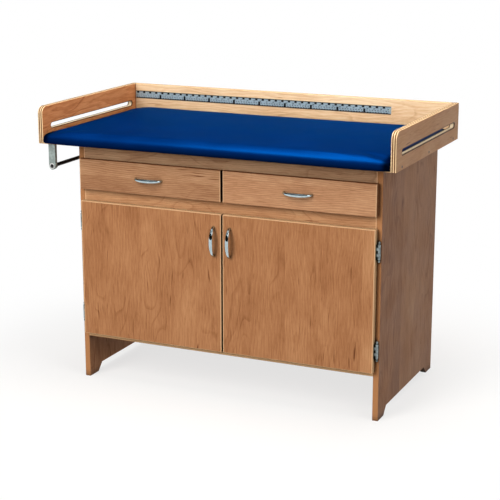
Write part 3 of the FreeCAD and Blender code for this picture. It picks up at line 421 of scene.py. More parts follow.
def slotRim(tree, colour, place, depth, slot):
    # painted shade as a dark line round the mouths of the routed slot, and painted light on the ply between
    # them
    middle, half = slot["middle"], slot["half"]
    reach = calc(tree, "ABSOLUTE", calc(tree, "SUBTRACT", place["y"], middle[0] * mm))
    past = calc(tree, "MAXIMUM", calc(tree, "SUBTRACT", reach, (half[0] - half[1]) * mm), 0.0)
    rise = calc(tree, "SUBTRACT", place["z"], middle[1] * mm)
    away = calc(tree, "SUBTRACT", hypot(tree, past, rise), half[1] * mm)
    near, far, cover = slot["rimShade"]
    rimShaded = remap(tree, away, near * mm, far * mm, cover, 0.0)
    colour = mixColour(tree, rimShaded, colour, paint(*slot["rimShadeColour"]))
    inside = calc(tree, "LESS_THAN", away, slot["play"] * mm)
    near, far, cover = slot["bare"]
    bare = remap(tree, depth, near * mm, far * mm, 0.0, cover)
    return mixColour(tree, calc(tree, "MULTIPLY", inside, bare), colour, paint(*slot["slotLightColour"]))


def openness(tree, reach):
    # how freely light gets at the surface, 0 to 1, past what stands within the reach
    return make(tree, "AmbientOcclusion", None, reach * mm, samples=6)["AO"]


def woodFinish(name, wood, order, offset):
    material, tree, shader = newMaterial(name + "Wood", Coat_Weight=0.03, Coat_Roughness=0.3,
                                         Specular_IOR_Level=0.07)
    place = separate(tree, objectCoords(tree))
    across, through, along = order
    lowest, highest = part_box(name)

    def inward(part):
        # distance from the nearer of the board's two sides on this axis
        axis = "xyz".index(part)
        return calc(tree, "MINIMUM", calc(tree, "SUBTRACT", place[part], lowest[axis]),
                    calc(tree, "SUBTRACT", highest[axis], place[part]))

    def chosen(*labels):
        return {label.capitalize(): wood[label] for label in labels}

    spread = combine(tree, calc(tree, "ADD", place[across], offset[0]), offset[1],
                     calc(tree, "ADD", place[along], offset[2]))
    figure = useGroup(tree, veneerFigure, Vector=spread, Seed=offset[1],
                      **chosen("leaf", "ring", "taper", "sway", "rings", "contours", "contrast"))
    face = ramp(tree, figure["Tone"], list(zip(faceStops, wood["face"])))
    depth = inward(through)
    edge = useGroup(tree, boardEdge, Depth=depth, Along=calc(tree, "ADD", place[along], place[across]),
                    Seed=offset[1], **chosen("skin", "layer", "glue"))
    glue = calc(tree, "MULTIPLY", edge["Glue Line"], wood["glueDark"])
    cut = mixColour(tree, glue, ramp(tree, edge["Tone"], wood["edge"]), paint(*wood["glueColour"]))
    # painted shade: the colour darkens where ambient occlusion finds gaps, corners and recesses
    gapLight = remap(tree, openness(tree, gapShadow["reach"]), gapShadow["dark"], gapShadow["clear"],
                  1 - gapShadow["depth"] * wood["gapShade"], 1.0, "LINEAR")
    shade = make(tree, "CombineColor", gapLight, gapLight, gapLight)[0]
    colour = mixColour(tree, edge["Core"], face, cut)
    colour = mixColour(tree, 1.0, colour, shade, "MULTIPLY")
    for part, width in zip((across, along), wood["paintedRim"]):
        if width:  # painted highlight as a pale rim round a veneered front, or painted shade as a dark line along a joint
            front = remap(tree, place["y"], lowest.y + mm, lowest.y + 2 * mm, 1.0, 0.0)
            rim = remap(tree, inward(part), wood["paintedRimSoft"] * width, width, wood["paintedRimCover"], 0.0)
            rim = calc(tree, "MULTIPLY", rim, front)
            colour = mixColour(tree, rim, colour, paint(*wood["paintedRimColour"]))
    if wood["slot"]:
        colour = slotRim(tree, colour, place, depth, wood["slot"])
    feed(tree, shader["Base Color"], colour)
    used = useGroup(tree, handling, Vector=objectCoords(tree), Smear=wood["smear"])
    rough = calc(tree, "MULTIPLY_ADD", used["Smears"], wood["smearRough"], wood["roughness"])
    feed(tree, shader["Roughness"], calc(tree, "MULTIPLY_ADD", edge["Core"], wood["edgeRough"], rough))
    feed(tree, shader["Normal"], bump(tree, figure["Height"], *wood["relief"]))
    return material


for name, (wood, order, offset) in boards.items():
    dress([name], woodFinish(name, wood, order, offset))
print("wood finished:", len(boards), "boards")


# Metal, rubber and plastic

# Colour, roughness, axes with the drawn one last, lines per metre, their stretch along that axis,
# their depth in mm, tarnish, share of bare metal
metals = {
    "pullChrome": ((190, 207, 212), 0.04, "xyz", 900.0, 0.6, 0.004, 0.12, 1.0),
    "hingeNickel": ((150, 160, 160), 0.16, "xyz", 1100.0, 0.3, 0.01, 0.4, 1.0),
    "slideZinc": ((188, 192, 198), 0.3, "xzy", 1300.0, 0.02, 0.02, 0.35, 1.0),
    "bracketZinc": ((178, 194, 192), 0.4, "xyz", 300.0, 0.5, 0.008, 0.25, 0.35),
    "screwSteel": ((150, 146, 138), 0.24, "xyz", 900.0, 0.4, 0.01, 0.4, 1.0),
    "ruleMetal": ((166, 188, 200), 0.5, "yzx", 1800.0, 0.015, 0.006, 0.12, 0.25),
    "ringSteel": ((238, 242, 242), 0.35, "xyz", 900.0, 0.4, 0.006, 0.15, 0.3),
    "guardScrewSteel": ((74, 62, 52), 0.35, "xyz", 900.0, 0.4, 0.01, 0.3, 1.0),
}
metalWear = {"smear": 22.0, "scratch": 600.0, "dark": 0.72, "darkTone": 0.6,
             "lineRough": 0.5, "leastRough": 0.75, "smearRough": 0.05, "relief": 0.3}
metalEndings = {  # finishes by how the names of their nodes end
    "_pull": "pullChrome", "_leaves": "hingeNickel", "hinge_pins": "hingeNickel", "_members": "slideZinc",
    "_bracket": "bracketZinc", "measuring_rule": "ruleMetal", "_screws": "screwSteel",
    "shelf_pins": "screwSteel", "strike_plate": "screwSteel",
}


def metalFinish(name, colour, roughness, order, fineness, stretched, lineDepth, tarnish, metallic):
    material, tree, shader = newMaterial(name, Metallic=metallic)
    place = separate(tree, objectCoords(tree))
    lines = useGroup(tree, brushed, Vector=combine(tree, *[place[axis] for axis in order]),
                     Fineness=fineness, Stretch=stretched)
    used = useGroup(tree, handling, Vector=objectCoords(tree), Smear=metalWear["smear"],
                    Scratch=metalWear["scratch"])
    dark = tuple(value * metalWear["dark"] for value in colour)
    tone = calc(tree, "MULTIPLY_ADD", lines["Mottle"], -tarnish, 1.0)
    feed(tree, shader["Base Color"], ramp(tree, tone, [(metalWear["darkTone"], dark), (1.0, colour)]))
    rough = calc(tree, "MULTIPLY_ADD", lines["Lines"], roughness * metalWear["lineRough"],
                 roughness * metalWear["leastRough"])
    rough = calc(tree, "MULTIPLY_ADD", used["Smears"], metalWear["smearRough"], rough)
    feed(tree, shader["Roughness"], rough)
    feed(tree, shader["Normal"], bump(tree, lines["Lines"], metalWear["relief"], lineDepth * mm))
    return material


metal = {name: metalFinish(name, *look) for name, look in metals.items()}
for ending, finish in metalEndings.items():
    dress([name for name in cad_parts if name.endswith(ending)], metal[finish])

# node: finish, colour, roughness, pebbles per metre
moulded = {
    "paper_rod": ("rodPaint", (24, 24, 26), 0.3, 900.0),
    "rod_collars": ("collarRubber", (30, 30, 31), 0.6, 1400.0),
    "magnetic_catch": ("catchPlastic", (110, 72, 46), 0.5, 1200.0),
}
mouldedWear = {"smear": 30.0, "dark": 0.7, "light": 1.2, "lift": 6, "smearRough": 0.15,
               "relief": (0.25, 0.05 * mm)}


def mouldedFinish(name, colour, roughness, pebble):
    material, tree, shader = newMaterial(name, Specular_IOR_Level=0.35)
    used = useGroup(tree, handling, Vector=objectCoords(tree), Smear=mouldedWear["smear"], Scratch=pebble)
    dark = tuple(value * mouldedWear["dark"] for value in colour)
    light = tuple(min(255, value * mouldedWear["light"] + mouldedWear["lift"]) for value in colour)
    feed(tree, shader["Base Color"], ramp(tree, used["Smears"], [(0.0, dark), (1.0, light)]))
    rough = calc(tree, "MULTIPLY_ADD", used["Smears"], mouldedWear["smearRough"], roughness)
    feed(tree, shader["Roughness"], rough)
    feed(tree, shader["Normal"], bump(tree, used["Scratches"], *mouldedWear["relief"]))
    return material


for name, look in moulded.items():
    dress([name], mouldedFinish(*look))
print("metal and plastic finished")


# Cushion

pad = {
    # outline in mm: its sides, and the reach of its rolls along y and z
    "end": 608.9, "front": -338.4, "rear": 319.4, "lip": -321.6,
    "deck": 853.4, "top": 875.0, "under": 835.4,
    "noseRoll": (44.0, 20.0), "underRoll": (16.4, 19.2), "rearRoll": (14.0, 9.0),
    # drawing in towards the ends: over what length, how far, each side's share
    "endRun": 92.0, "endDrop": 17.0,
    "drawIn": {"rear": -0.5, "front": 1.0, "top": -0.6,
               "rearRoll": (0.3, 0.1), "noseRoll": (1.0, 0.4), "underRoll": (0.85, 0.15)},
    "endSteps": 10, "rollSteps": 16, "stations": 84, "points": 100,
    # the cover's swelling: air pressure, frames, and its limits in mm
    "pressure": 1.2, "frames": 20, "rise": 2.6, "endLimit": 609.1, "rearLimit": 319.8,
}
vinyl = {
    "blue": [(0.0, (1, 41, 104)), (1.0, (2, 44, 110))], "shadow": (0, 4, 14), "sheen": (90, 190, 255),
    "roughness": 0.375, "smearRough": 0.03, "smear": 7.0, "scratch": 1300.0,
    # painted shade from ambient occlusion: its reach in mm, and the levels where it is full and where it
    # ends
    "shadeReach": 45.0, "shadeRange": (0.45, 0.95),
    # where the cover turns out of the light, in metres, and the light left before and after
    "ends": (0.576, 0.597, 1.0, 0.08), "underneath": (0.838, 0.866, 0.25, 1.0),
    "back": (0.3, 0.314, 1.0, 0.1),
    "pebbles": 520.0, "pebbleEdge": (0.0, 0.22), "scratchShare": 0.35, "relief": (0.22, 0.12 * mm),
}


def vinylFinish():
    material, tree, shader = newMaterial("padVinyl", Specular_IOR_Level=0.0, Metallic=0.55,
                                         Specular_Tint=paint(*vinyl["sheen"]))
    spot = objectCoords(tree)
    place = separate(tree, spot)
    used = useGroup(tree, handling, Vector=spot, Smear=vinyl["smear"], Scratch=vinyl["scratch"])
    # painted shade: darker where ambient occlusion finds something near, at the ends beside the guards,
    # under the nose and at the back
    lit = remap(tree, openness(tree, vinyl["shadeReach"]), *vinyl["shadeRange"])
    for turn, value in (("ends", calc(tree, "ABSOLUTE", place["x"])), ("underneath", place["z"]),
                        ("back", place["y"])):
        lit = calc(tree, "MULTIPLY", lit, remap(tree, value, *vinyl[turn]))
    blue = ramp(tree, used["Smears"], vinyl["blue"])
    feed(tree, shader["Base Color"], mixColour(tree, lit, paint(*vinyl["shadow"]), blue))
    rough = calc(tree, "MULTIPLY_ADD", used["Smears"], vinyl["smearRough"], vinyl["roughness"])
    feed(tree, shader["Roughness"], rough)
    leather = make(tree, "TexVoronoi", spot, None, vinyl["pebbles"], feature="DISTANCE_TO_EDGE")["Distance"]
    pebbles = remap(tree, leather, *vinyl["pebbleEdge"])
    height = calc(tree, "MULTIPLY_ADD", used["Scratches"], vinyl["scratchShare"], pebbles)
    feed(tree, shader["Normal"], bump(tree, height, *vinyl["relief"]))
    return material


def roundedPath(corners):
    # a line through square corners (y, z, oval reach along y and z), walked in equal steps
    tips = [Vector(corner[:2]) for corner in corners]
    ovals = [corner[2] for corner in corners[1:]]
    dense = [tips[0]]
    for before, tip, after, (wide, high) in zip(tips, tips[1:], tips[2:], ovals):
        back = (before - tip).normalized()
        ahead = (after - tip).normalized()
        inward = back + ahead
        centre = tip + Vector((inward.x * wide, inward.y * high))
        for step in range(pad["rollSteps"] + 1):
            turn = math.pi / 2 * step / pad["rollSteps"]
            away = ahead * math.cos(turn) + back * math.sin(turn)
            dense.append(centre - Vector((away.x * wide, away.y * high)))
    dense.append(tips[-1])
    reach = [0.0]
    for first, second in zip(dense, dense[1:]):
        reach.append(reach[-1] + (second - first).length)
    points = []
    span = 0
    for step in range(pad["points"]):
        goal = reach[-1] * step / (pad["points"] - 1)
        while span < len(dense) - 2 and reach[span + 1] < goal:
            span += 1
        gap = reach[span + 1] - reach[span]
        points.append(dense[span].lerp(dense[span + 1], (goal - reach[span]) / gap if gap else 0.0))
    return points


def padRing(inset):
    # the upper and the lower outline at one station
    share = pad["drawIn"]
    rear, front, top = (pad[side] + share[side] * inset for side in ("rear", "front", "top"))
    rearRoll, noseRoll, underRoll = (Vector(pad[roll]) - Vector(share[roll]) * inset
                                     for roll in ("rearRoll", "noseRoll", "underRoll"))
    deck, under, lip = pad["deck"], pad["under"], pad["lip"]
    sharp = (0, 0)
    upper = roundedPath([(rear, deck, sharp), (rear, top, rearRoll), (front, top, noseRoll),
                         (front, under, underRoll), (lip, under, sharp)])
    lower = roundedPath([(rear, deck, sharp), (lip, deck, sharp), (lip, under, sharp)])
    return upper, lower


def padMesh():
    stations = []  # place along x, and how far the outline is drawn in there
    for step in range(pad["endSteps"] + 1):
        turn = math.pi / 2 * step / pad["endSteps"]
        stations.append((pad["endRun"] * (1 - math.cos(turn)) - pad["end"],
                         pad["endDrop"] * (1 - math.sin(turn))))
    inner = pad["end"] - pad["endRun"]
    between = [(-inner + 2 * inner * step / pad["stations"], 0.0) for step in range(1, pad["stations"])]
    stations += between + [(-x, inset) for x, inset in reversed(stations)]
    shape = bmesh.new()
    held = shape.verts.layers.deform.verify()
    rings = []
    for x, inset in stations:
        upper, lower = padRing(inset)
        ring = [shape.verts.new((x * mm, y * mm, z * mm)) for y, z in upper + lower[-2:0:-1]]
        for vert in ring[pad["points"] - 1:] + ring[:1]:
            vert[held][0] = 1.0
        rings.append(ring)
    size = len(rings[0])
    for near, far in zip(rings, rings[1:]):
        for step in range(size):
            after = (step + 1) % size
            shape.faces.new((near[step], near[after], far[after], far[step]))
    for ring in (rings[0], rings[-1]):
        for step in range(pad["points"] - 1):
            ladder = [ring[step], ring[step + 1], ring[-step - 1], ring[-step]]
            shape.faces.new(list(dict.fromkeys(ladder)))
    bmesh.ops.recalc_face_normals(shape, faces=shape.faces)
    return newMesh("cushion", shape)


def inflate(piece):
    # air pressure lifts the cover off its foam; the underside is glued to the deck and stays
    start = [vert.co.copy() for vert in piece.data.vertices]
    cloth = piece.modifiers.new("cover", "CLOTH")
    cover = cloth.settings
    cover.quality = 5
    cover.mass = 0.3
    cover.tension_stiffness = 30
    cover.compression_stiffness = 30
    cover.shear_stiffness = 15
    cover.bending_stiffness = 8
    cover.use_pressure = True
    cover.uniform_pressure_force = pad["pressure"]
    cover.vertex_group_mass = "held"
    cover.effector_weights.gravity = 0
    cloth.collision_settings.use_collision = False
    cloth.point_cache.frame_end = pad["frames"]
    scene = bpy.context.scene
    for step in range(1, pad["frames"] + 1):
        scene.frame_set(step)
    swollen = finalMesh(piece)
    piece.modifiers.clear()
    scene.frame_set(1)
    rise, endLimit, rearLimit = (pad[limit] * mm for limit in ("rise", "endLimit", "rearLimit"))
    still = 1e-7  # a move too short to have a direction
    most = 0.0
    for vert, old, moved in zip(piece.data.vertices, start, swollen.vertices):
        move = moved.co - old
        most = max(most, move.length)
        if move.length > still:
            vert.co = old + move.normalized() * rise * (1 - math.exp(-move.length / rise))
        vert.co.x = max(-endLimit, min(endLimit, vert.co.x))
        vert.co.y = min(rearLimit, vert.co.y)
    print("cushion swelled by", round(most / mm, 1), "mm before its cap")


def makePad():
    piece = addObject("cushion", padMesh())
    piece.vertex_groups.new(name="held")
    inflate(piece)
    piece.modifiers.new("smooth", "SUBSURF")
    finished = finalMesh(piece)
    piece.modifiers.clear()
    piece.vertex_groups.clear()
    piece.data = finished
    finished.shade_smooth()
    finished.materials.clear()
    finished.materials.append(vinylFinish())
    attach(piece, "cabinet_body")
    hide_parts("pad")
    print("cushion made:", len(finished.polygons), "faces")


makePad()


# Geometry node trees for what repeats

# what every row asks for: how many, where the first one stands, and the way to the next
rowInputs = {"Count": "Int", "Start": "Vector", "Step": "Vector"}
# the cross recess in shares of the head's radius and height, and the sides of head and shank
screwShape = {"crossLong": 1.25, "crossWide": 0.3, "crossDeep": 1.1, "headSides": 24, "shankSides": 12}


def newTree(name, inputs):
    tree = bpy.data.node_groups.new(name, "GeometryNodeTree")
    for label, kind in {**rowInputs, **inputs}.items():
        tree.interface.new_socket(label, in_out="INPUT", socket_type="NodeSocket" + kind)
    tree.interface.new_socket("Geometry", in_out="OUTPUT", socket_type="NodeSocketGeometry")
    return tree, tree.nodes.new("NodeGroupInput").outputs


def addNode(tree, kind, **values):
    # a node with its inputs fed, and the first thing it gives
    node = tree.nodes.new(kind)
    for label, value in values.items():
        feed(tree, node.inputs[label.replace("_", " ")], value)
    return node.outputs[0]


def lineUp(tree, start, shape, material, **turn):
    # copies of a shape in a row, made real and given their material
    row = addNode(tree, "GeometryNodeMeshLine", Count=start["Count"], Start_Location=start["Start"],
                  Offset=start["Step"])
    copies = addNode(tree, "GeometryNodeInstanceOnPoints", Points=row, Instance=shape, **turn)
    whole = addNode(tree, "GeometryNodeRealizeInstances", Geometry=copies)
    coated = addNode(tree, "GeometryNodeSetMaterial", Geometry=whole, Material=material)
    feed(tree, tree.nodes.new("NodeGroupOutput").inputs["Geometry"], coated)
    return tree


def makeTickRow():
    # flat marks in a row on a face that looks to the front
    tree, start = newTree("tickRow", {"Width": "Float", "Height": "Float", "Ink": "Material"})
    mark = addNode(tree, "GeometryNodeMeshGrid", Size_X=start["Width"], Size_Y=start["Height"],
                   Vertices_X=2, Vertices_Y=2)
    upright = addNode(tree, "GeometryNodeTransform", Geometry=mark, Rotation=Euler((math.pi / 2, 0, 0)))
    return lineUp(tree, start, upright, start["Ink"])


def makeScrewRow():
    # screws with a cross recess, heads towards Z of their own turn, each driven to its own angle
    tree, start = newTree("screwRow", {
        "Facing": "Vector", "Top Radius": "Float", "Seat Radius": "Float", "Head Height": "Float",
        "Sink": "Float", "Shank Radius": "Float", "Length": "Float", "Seed": "Int", "Metal": "Material"})

    def share(label, factor):
        return calc(tree, "MULTIPLY", start[label], factor)

    def lifted(shape, height):
        return addNode(tree, "GeometryNodeTransform", Geometry=shape,
                       Translation=combine(tree, 0.0, 0.0, height))

    lowered = share("Sink", -1.0)
    cone = addNode(tree, "GeometryNodeMeshCone", Vertices=screwShape["headSides"],
                   Radius_Top=start["Top Radius"], Radius_Bottom=start["Seat Radius"],
                   Depth=start["Head Height"])
    face = calc(tree, "ADD", lowered, start["Head Height"])
    wide = share("Top Radius", screwShape["crossLong"])
    slim = share("Top Radius", screwShape["crossWide"])
    deep = share("Head Height", screwShape["crossDeep"])
    cross = tree.nodes.new("GeometryNodeMeshBoolean")
    cross.operation = "DIFFERENCE"
    feed(tree, cross.inputs["Mesh 1"], lifted(cone, lowered))
    for long, short in ((wide, slim), (slim, wide)):
        bar = addNode(tree, "GeometryNodeMeshCube", Size=combine(tree, long, short, deep))
        feed(tree, cross.inputs["Mesh 2"], lifted(bar, face))
    shank = addNode(tree, "GeometryNodeMeshCylinder", Vertices=screwShape["shankSides"],
                    Radius=start["Shank Radius"], Depth=start["Length"])
    screw = tree.nodes.new("GeometryNodeJoinGeometry")
    feed(tree, screw.inputs[0], lifted(shank, calc(tree, "ADD", share("Length", -0.5), lowered)))
    feed(tree, screw.inputs[0], cross.outputs["Mesh"])
    facing = addNode(tree, "FunctionNodeEulerToRotation", Euler=start["Facing"])
    driven = tree.nodes.new("FunctionNodeRandomValue")
    driven.data_type = "FLOAT"
    feed(tree, driven.inputs[3], math.pi)  # the most it turns, among the sockets for plain numbers
    feed(tree, driven.inputs["Seed"], start["Seed"])
    spin = addNode(tree, "FunctionNodeEulerToRotation", Euler=combine(tree, 0.0, 0.0, driven.outputs[1]))
    turned = tree.nodes.new("FunctionNodeRotateRotation")
    turned.rotation_space = "LOCAL"
    feed(tree, turned.inputs[0], facing)
    feed(tree, turned.inputs[1], spin)
    return lineUp(tree, start, screw.outputs[0], start["Metal"], Rotation=turned.outputs[0])


tickRow = makeTickRow()
screwRow = makeScrewRow()


def grow(tree, settings):
    # one run of a tree as a plain mesh
    holder = addObject("holder", bpy.data.meshes.new("holder"))
    modifier = holder.modifiers.new("grow", "NODES")
    modifier.node_group = tree
    names = {item.name: item.identifier for item in tree.interface.items_tree if item.in_out == "INPUT"}
    for label, value in settings.items():
        modifier[names[label]] = value
    mesh = finalMesh(holder)
    bpy.data.objects.remove(holder)
    return mesh


def joined(name, meshes, material, body):
    shape = bmesh.new()
    for mesh in meshes:
        mesh.materials.clear()
        shape.from_mesh(mesh)
    for face in shape.faces:
        face.material_index = 0
        face.smooth = False
    piece = addObject(name, newMesh(name, shape))
    piece.data.materials.append(material)
    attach(piece, body)
    return piece


# Print on the measuring rule: inches above, centimetres below

rule = {
    "proud": 0.06, "ink": (16, 24, 30), "worn": 0.8, "inkRough": (0.2, 0.45),
    "border": 2.6, "borderInset": 0.6, "zero": 2.0,
    "inch": 25.4, "inchCount": 39, "centimetre": 10.0, "centimetreCount": 99, "decimetreCount": 9,
    # marks to the inch or centimetre, their height and width
    "inchMarks": [(8, 3.0, 0.25), (4, 4.0, 0.3), (2, 5.2, 0.35), (1, 6.6, 0.5)],
    "centimetreMarks": [(10, 2.4, 0.2), (2, 3.6, 0.28), (1, 4.8, 0.4)],
    # width and height of the dark blocks
    "decimetreBlock": (8.0, 13.0), "inchBlock": (9.0, 6.0), "centimetreBlock": (4.0, 2.4),
    # numbers: size, shift along the rule, distance from the border
    "inchNumber": (7.2, -3.6, 8.8), "centimetreNumber": (5.2, 0.0, 7.4), "bold": 0.14,
}


def inkFinish():
    material, tree, shader = newMaterial("ruleInk", Specular_IOR_Level=0.2)
    used = useGroup(tree, handling, Vector=objectCoords(tree), Smear=40.0, Scratch=900.0)
    dark = tuple(value * rule["worn"] for value in rule["ink"])
    feed(tree, shader["Base Color"], ramp(tree, used["Smears"], [(0.0, dark), (1.0, rule["ink"])]))
    feed(tree, shader["Roughness"], calc(tree, "MULTIPLY_ADD", used["Scratches"], *rule["inkRough"]))
    return material


def numberMesh(text, size, x, y, z):
    curve = bpy.data.curves.new("number", "FONT")
    curve.body = text
    curve.size = size
    curve.align_x = "CENTER"
    curve.align_y = "CENTER"
    curve.resolution_u = 2
    curve.offset = rule["bold"] * mm
    holder = bpy.data.objects.new("number", curve)
    mesh = bpy.data.meshes.new_from_object(holder)
    bpy.data.objects.remove(holder)
    mesh.transform(Matrix.Translation((x, y, z)) @ Matrix.Rotation(math.pi / 2, 4, "X"))
    return mesh


def printRule():
    ink = inkFinish()
    lowest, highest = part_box("measuring_rule")
    face = lowest.y - rule["proud"] * mm
    high = highest.z - rule["border"] * mm
    low = lowest.z + rule["border"] * mm
    zero = lowest.x + rule["zero"] * mm
    meshes = []

    def marks(count, first, step, width, height, edge, hang):
        # hang is -1 for marks under an edge and 1 for marks on it
        z = edge + hang * height * mm / 2
        meshes.append(grow(tickRow, {"Count": count, "Start": (first, face, z), "Step": (step, 0, 0),
                                     "Width": width * mm, "Height": height * mm, "Ink": ink}))

    length = (highest.x - lowest.x) / mm - rule["borderInset"]
    for edge, hang in ((highest.z, -1), (lowest.z, 1)):  # dark borders
        marks(1, (lowest.x + highest.x) / 2, 0.0, length, rule["border"], edge, hang)
    decimetre = 10 * rule["centimetre"] * mm
    marks(rule["decimetreCount"], zero + decimetre, decimetre, *rule["decimetreBlock"], low, 1)
    for unit, edge, hang in (("inch", high, -1), ("centimetre", low, 1)):
        step = rule[unit] * mm
        count = rule[unit + "Count"]
        for divide, height, width in rule[unit + "Marks"]:
            marks(count * divide + 1, zero, step / divide, width, height, edge, hang)
        marks(count, zero + step / 4, step, *rule[unit + "Block"], edge, hang)  # halves dark by turns
        size, shift, away = (value * mm for value in rule[unit + "Number"])
        for number in range(1, count + 1):
            meshes.append(numberMesh(str(number), size, zero + number * step + shift, face,
                                     edge + hang * away))
    joined("rulePrint", meshes, ink, "cabinet_body")
    print("rule printed")


printRule()


# Cross-head screws

screwKinds = {  # in mm
    "countersunk": {"Top Radius": 4.5, "Seat Radius": 2.2, "Head Height": 2.6, "Sink": 2.6,
                    "Shank Radius": 2.0, "Length": 30.0},
    "leaf": {"Top Radius": 2.4, "Seat Radius": 3.3, "Head Height": 1.0, "Sink": 0.0,
             "Shank Radius": 1.5, "Length": 4.0},
}
screwKinds["ruleEnd"] = dict(screwKinds["leaf"], **{"Top Radius": 3.4, "Seat Radius": 4.2})
facings = {"right": (0, math.pi / 2, 0), "left": (0, -math.pi / 2, 0), "rear": (-math.pi / 2, 0, 0),
           "front": (math.pi / 2, 0, 0)}
# piece: kind, finish, body, screws in a row, step to the next, and each row's facing, start and seed
screwRows = {
    "guardScrewHeads": ("countersunk", "guardScrewSteel", "cabinet_body", 3, (0, 274, 0), [
        ("left", (-628.5, -264.5, 843.5), 1), ("right", (628.5, -264.5, 843.5), 2)]),
    "hingeFrameScrews": ("leaf", "screwSteel", "cabinet_body", 2, (0, 0, 30), [
        ("right", (-504.5, -221, 548), 3), ("right", (-504.5, -221, 222), 3),
        ("left", (539.5, -221, 548), 3), ("left", (539.5, -221, 222), 3)]),
    "leftHingeLeafScrews": ("leaf", "screwSteel", "left_door_leaf", 2, (0, 0, 30), [
        ("rear", (-497, -235, 548), 4), ("rear", (-497, -235, 222), 4)]),
    "rightHingeLeafScrews": ("leaf", "screwSteel", "right_door_leaf", 2, (0, 0, 30), [
        ("rear", (532, -235, 548), 4), ("rear", (532, -235, 222), 4)]),
    "ruleScrews": ("ruleEnd", "bracketZinc", "cabinet_body", 2, (990, 0, 0), [
        ("front", (-600.5, 319.7, 918.75), 5)]),
}


def fitScrews():
    for name, (kind, finish, body, count, step, rows) in screwRows.items():
        meshes = []
        for facing, start, seed in rows:
            settings = {label: value * mm for label, value in screwKinds[kind].items()}
            settings.update({"Count": count, "Facing": facings[facing], "Seed": seed,
                             "Start": tuple(value * mm for value in start),
                             "Step": tuple(value * mm for value in step), "Metal": metal[finish]})
            meshes.append(grow(screwRow, settings))
        piece = joined(name, meshes, metal[finish], body)
        if name == "guardScrewHeads":
            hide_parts("guard_screws")
    print("screws driven")


fitScrews()


# Retaining rings on the ends of the paper rod

rodRing = {
    "brackets": {"front_paper_bracket": (0, -1), "rear_paper_bracket": (1, 1)},  # which face, which way
    "sides": 40, "sharp": 50,
    # radius and distance from the bracket, round a rolled rim
    "profile": [(6.5, 0.4), (9.4, 0.4), (10.2, 0.9), (10.4, 1.7), (10.0, 2.5), (9.2, 2.9), (8.4, 2.6),
                (7.6, 1.9), (6.5, 1.7)],
}


def fitRodRings():
    lowest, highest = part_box("paper_rod")
    middle = (lowest + highest) / 2
    shape = bmesh.new()
    for bracket, (side, way) in rodRing["brackets"].items():
        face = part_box(bracket)[side].y
        rings = []
        for turn in range(rodRing["sides"]):
            angle = 2 * math.pi * turn / rodRing["sides"]
            rings.append([shape.verts.new((middle.x + radius * mm * math.cos(angle), face + way * out * mm,
                                           middle.z + radius * mm * math.sin(angle)))
                          for radius, out in rodRing["profile"]])
        for near, far in zip(rings, rings[1:] + rings[:1]):
            for step in range(len(near)):
                shape.faces.new((near[step - 1], near[step], far[step], far[step - 1]))
    bmesh.ops.recalc_face_normals(shape, faces=shape.faces)
    mesh = newMesh("rodRings", shape)
    piece = joined("rodRings", [mesh], metal["ringSteel"], "paper_roll_rod")
    piece.data.shade_smooth()
    piece.data.set_sharp_from_angle(angle=math.radians(rodRing["sharp"]))
    print("rod rings fitted")


fitRodRings()


# Stage, light and camera

stage = {
    "floorSize": 60.0, "floorColour": (248, 248, 248), "bounceColour": (120, 118, 114), "glow": 0.68,
    "clearFrom": 0.55, "clearTo": 1.5, "ambient": 0.2,
    # what shiny surfaces see by the height of the look: dark wall with a strip light, white ceiling
    "reflected": [(0.0, (22, 24, 22)), (0.43, (14, 16, 15)), (0.46, (236, 236, 236)),
                  (0.53, (236, 236, 236)), (0.56, (14, 16, 15)), (0.67, (14, 16, 15)),
                  (0.73, (240, 240, 240)), (1.0, (240, 240, 240))],
}
# place, aim, size, watts, colour, whether it lights matt surfaces, whether it shows in shiny ones
lamps = {
    "key": ((-1.7, -4.7, 3.3), (0.1, 0.0, 0.55), (2.8, 4.6), 270.0, (1.0, 0.96, 0.9), True, False),
    "fill": ((3.9, -2.2, 2.6), (0.3, 0.0, 0.6), (2.0, 2.0), 43.0, (1.0, 0.97, 0.94), True, True),
    "top": ((-0.2, 0.3, 2.6), (-0.2, 0.3, 0.85), (1.3, 1.8), 65.0, (1.0, 1.0, 0.64), False, True),
    "spill": ((0.5, -0.3, 2.6), (-0.4, 0.1, 0.9), (1.0, 1.0), 38.0, (1.0, 0.95, 0.88), True, False),
    "rear": ((0.2, 4.2, 0.75), (0.0, 0.0, 0.5), (2.8, 1.4), 150.0, (1.0, 0.97, 0.93), True, False),
}
view = {"place": (1.9143, -4.2461, 1.6506), "yaw": 24.22, "pitch": 14.39, "lens": 100.54, "sensor": 36.0,
        "far": 100}


def softLight(name, place, aim, size, power, colour, matt, mirrored):
    data = bpy.data.lights.new(name + "Light", "AREA")
    data.shape = "RECTANGLE"
    data.size, data.size_y = size
    data.energy = power
    data.color = colour
    light = addObject(name + "Light", data)
    light.visible_diffuse = matt
    light.visible_glossy = mirrored
    light.location = place
    light.rotation_euler = (Vector(aim) - Vector(place)).to_track_quat("-Z", "Y").to_euler()


def rays(tree):
    # whether the look comes from the camera, and whether it comes by way of a shiny surface
    path = make(tree, "LightPath")
    return path["Is Camera Ray"], calc(tree, "MAXIMUM", path["Is Glossy Ray"], path["Is Transmission Ray"])


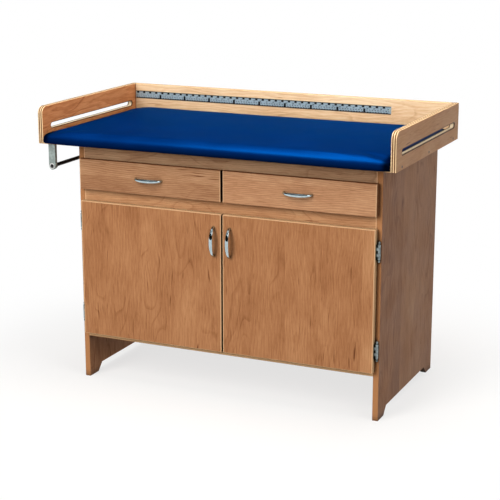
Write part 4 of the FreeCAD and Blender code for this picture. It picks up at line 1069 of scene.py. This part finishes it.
def layFloor():
    half = stage["floorSize"] / 2
    mesh = bpy.data.meshes.new("studioFloor")
    corners = [(-half, -half, 0), (half, -half, 0), (half, half, 0), (-half, half, 0)]
    mesh.from_pydata(corners, [], [(0, 1, 2, 3)])
    floor = addObject("studioFloor", mesh)
    material = bpy.data.materials.new("paleFloor")
    material.use_nodes = True
    tree = material.node_tree
    tree.nodes.remove(tree.nodes["Principled BSDF"])
    direct = calc(tree, "MAXIMUM", *rays(tree))
    shown = mixColour(tree, direct, paint(*stage["bounceColour"]), paint(*stage["floorColour"]))
    matt = make(tree, "BsdfDiffuse", shown)[0]
    glow = make(tree, "Emission")[0]
    place = separate(tree, objectCoords(tree))
    away = hypot(tree, place["x"], place["y"])
    clear = remap(tree, away, stage["clearFrom"], stage["clearTo"], stage["glow"], 1.0)
    blend = make(tree, "MixShader", calc(tree, "MULTIPLY", direct, clear), matt, glow)[0]
    feed(tree, tree.nodes["Material Output"].inputs["Surface"], blend)
    mesh.materials.append(material)


def setWorld():
    # white to the camera, a plain level to the object, and bands of light and dark to shiny metal
    world = bpy.data.worlds.new("studio")
    world.use_nodes = True
    tree = world.node_tree
    height = separate(tree, make(tree, "TexCoord")["Generated"])["z"]
    camera, shiny = rays(tree)
    level = stage["ambient"]
    seen = mixColour(tree, shiny, (level, level, level, 1), ramp(tree, height, stage["reflected"]))
    seen = mixColour(tree, camera, seen, (1, 1, 1, 1))
    feed(tree, tree.nodes["Background"].inputs["Color"], seen)
    bpy.context.scene.world = world


def setCamera():
    data = bpy.data.cameras.new("photoCamera")
    data.sensor_width = view["sensor"]
    data.lens = view["lens"]
    data.clip_end = view["far"]
    camera = addObject("photoCamera", data)
    camera.location = view["place"]
    camera.rotation_euler = Euler((math.radians(90 - view["pitch"]), 0, math.radians(view["yaw"])))
    bpy.context.scene.camera = camera


for name, lamp in lamps.items():
    softLight(name, *lamp)
layFloor()
setWorld()
setCamera()
bpy.context.scene.view_settings.view_transform = "Standard"
print("stage set")
